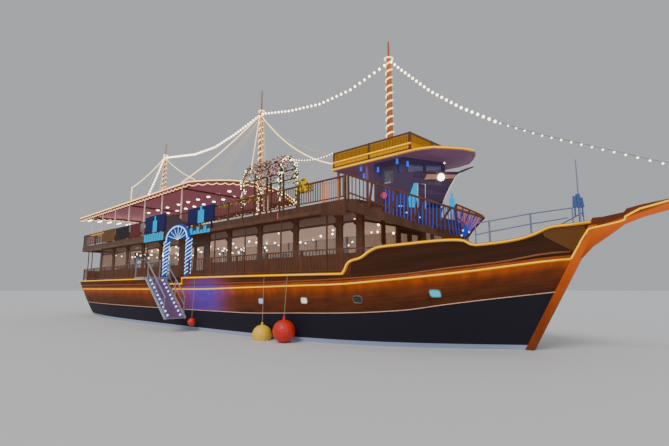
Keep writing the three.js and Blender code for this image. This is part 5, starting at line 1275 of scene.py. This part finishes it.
# Bunches along the rail: rows are (low corner, high corner, how many, looks, sizes)
BUNCHES = [
    ((6.5, -3.98, 5.82), (7.22, -3.72, 6.14), 260, [4, 4, 4, 4, 4, 0], (0.03, 0.07)),
    ((6.7, -3.95, 6.1), (7.0, -3.75, 6.34), 80, [4, 4, 4, 4, 4, 0], (0.03, 0.07)),
    ((0.4, -3.95, 5.9), (4.6, -3.75, 6.15), 170, [0, 1, 4], (0.02, 0.05)),
]
for low, high, count, looks, size in BUNCHES:
    for _ in range(count):
        place = [rng.uniform(a, b) for a, b in zip(low, high)]
        blossom.ball(place, rng.uniform(*size), 3, 5, rng.uniform(0.5, 1.0), int(rng.choice(looks)))
blossom.piece("pergola_flowers", FLOWER_LOOKS)

# Tables and chairs on the upper deck, under the canopy
deck_set = Kit()
for x in (-16.6, -14.2, -11.8, -9.4, -7.0, -4.9):
    for y in (-2.4, 0.0, 2.4):
        deck_set.box((x - 0.35, y - 0.35, 5.88), (x + 0.35, y + 0.35, 5.93))
        deck_set.box((x - 0.05, y - 0.05, 5.205), (x + 0.05, y + 0.05, 5.88))
        for dx in (-0.62, 0.62):
            deck_set.box((x + dx - 0.2, y - 0.2, 5.21), (x + dx + 0.2, y + 0.2, 5.62))
            back = x + dx + math.copysign(0.18, dx)
            deck_set.box((back - 0.03, y - 0.2, 5.6), (back + 0.03, y + 0.2, 6.08))
deck_set.piece("deck_tables", rail_wood, slot="rail_timber")

# Panels and a light at the stern end of the starboard rail: rows are (aft, fore, foot, head, colour)
STERN_PANELS = [
    (-14.3, -12.0, 5.25, 6.1, (0.13, 0.06, 0.015)),
    (-11.8, -9.6, 5.25, 6.05, (0.02, 0.012, 0.01)),
    (-9.4, -7.9, 5.25, 6.05, (0.12, 0.018, 0.016)),
]
stern = Kit()
for look, (aft, fore, low, high, _) in enumerate(STERN_PANELS):
    stern.box((aft, -4.03, low), (fore, -4.02, high), look)
stern.piece("stern_panels", [lit("panel_%d" % k, row[4], 0.05) for k, row in enumerate(STERN_PANELS)])
amber = Kit().box((-16.5, -4.03, 5.9), (-13.95, -4.02, 6.0))
amber.piece("stern_glow", light("amber_glow", (1.0, 0.42, 0.02), 0.8))

# Bow fittings: windlass, bollards, and the cluster of lamps at the jackstaff's foot
WINDLASS_X, WINDLASS_HALF = 12.9, 0.55
bow = Kit()
bow_deck = deck_at(2.7)          # the deck's height by the windlass
bow.tube([(WINDLASS_X, y, bow_deck + 0.42) for y in (-WINDLASS_HALF, WINDLASS_HALF)], 0.13, 10)
for y in (-0.62, 0.62):
    bow.box((WINDLASS_X - 0.25, y - 0.06, bow_deck), (WINDLASS_X + 0.25, y + 0.06, bow_deck + 0.55))
for y in (-1.2, 1.2):
    for x in (13.6, 13.95):
        bow.tube([(x, y, bow_deck + 0.1), (x, y, bow_deck + 0.62)], 0.07, 10)
bow.piece("bow_fittings", metal, slot="stay_wire")
STAFF_X, STAFF_Y = 15.78, -0.376
cluster = Kit()
for shift, top in ((-0.09, 4.9), (0.0, 4.97), (0.08, 4.86)):
    x, y = STAFF_X + shift, STAFF_Y + shift
    cluster.bar((x, y, 4.25), (x, y, 4.6), 0.04)
    cluster.bar((x, y, 4.55), (STAFF_X - 0.01 + shift * 0.7, STAFF_Y + shift * 0.7, top), 0.11)
cluster.piece("jackstaff_bundle", lit("bundle", (0.06, 0.1, 0.24), 0.25))

# Floor at the waterline, world and soft studio lights
REACH = 400.0
floor_mesh = bpy.data.meshes.new("floor")
floor_mesh.from_pydata([(-REACH, -REACH, 0), (REACH, -REACH, 0), (REACH, REACH, 0), (-REACH, REACH, 0)], [],
                       [(0, 1, 2, 3)])
floor_mesh.materials.append(plain("floor_paint", (0.68, 0.68, 0.69), 0.75))
floor = new_object("floor", floor_mesh)

world = bpy.data.worlds.new("studio")
world.use_nodes = True
sky = world.node_tree.nodes["Background"]
connect(world.node_tree, sky, ("Color", (0.8, 0.83, 0.88, 1.0)), ("Strength", 0.55))
bpy.context.scene.world = world


def sun(name, strength, angle, azimuth, elevation, color):
    data = bpy.data.lights.new(name, "SUN")
    data.energy = strength
    data.angle = math.radians(angle)
    data.color = color
    a, e = math.radians(azimuth), math.radians(elevation)
    toward = Vector((math.cos(a) * math.cos(e), math.sin(a) * math.cos(e), math.sin(e)))
    new_object(name, data).rotation_euler = toward.to_track_quat("Z", "Y").to_euler()


sun("key", 1.6, 25, -75, 42, (1.0, 0.97, 0.93))
sun("fill", 0.45, 40, -12, 30, (0.9, 0.94, 1.0))
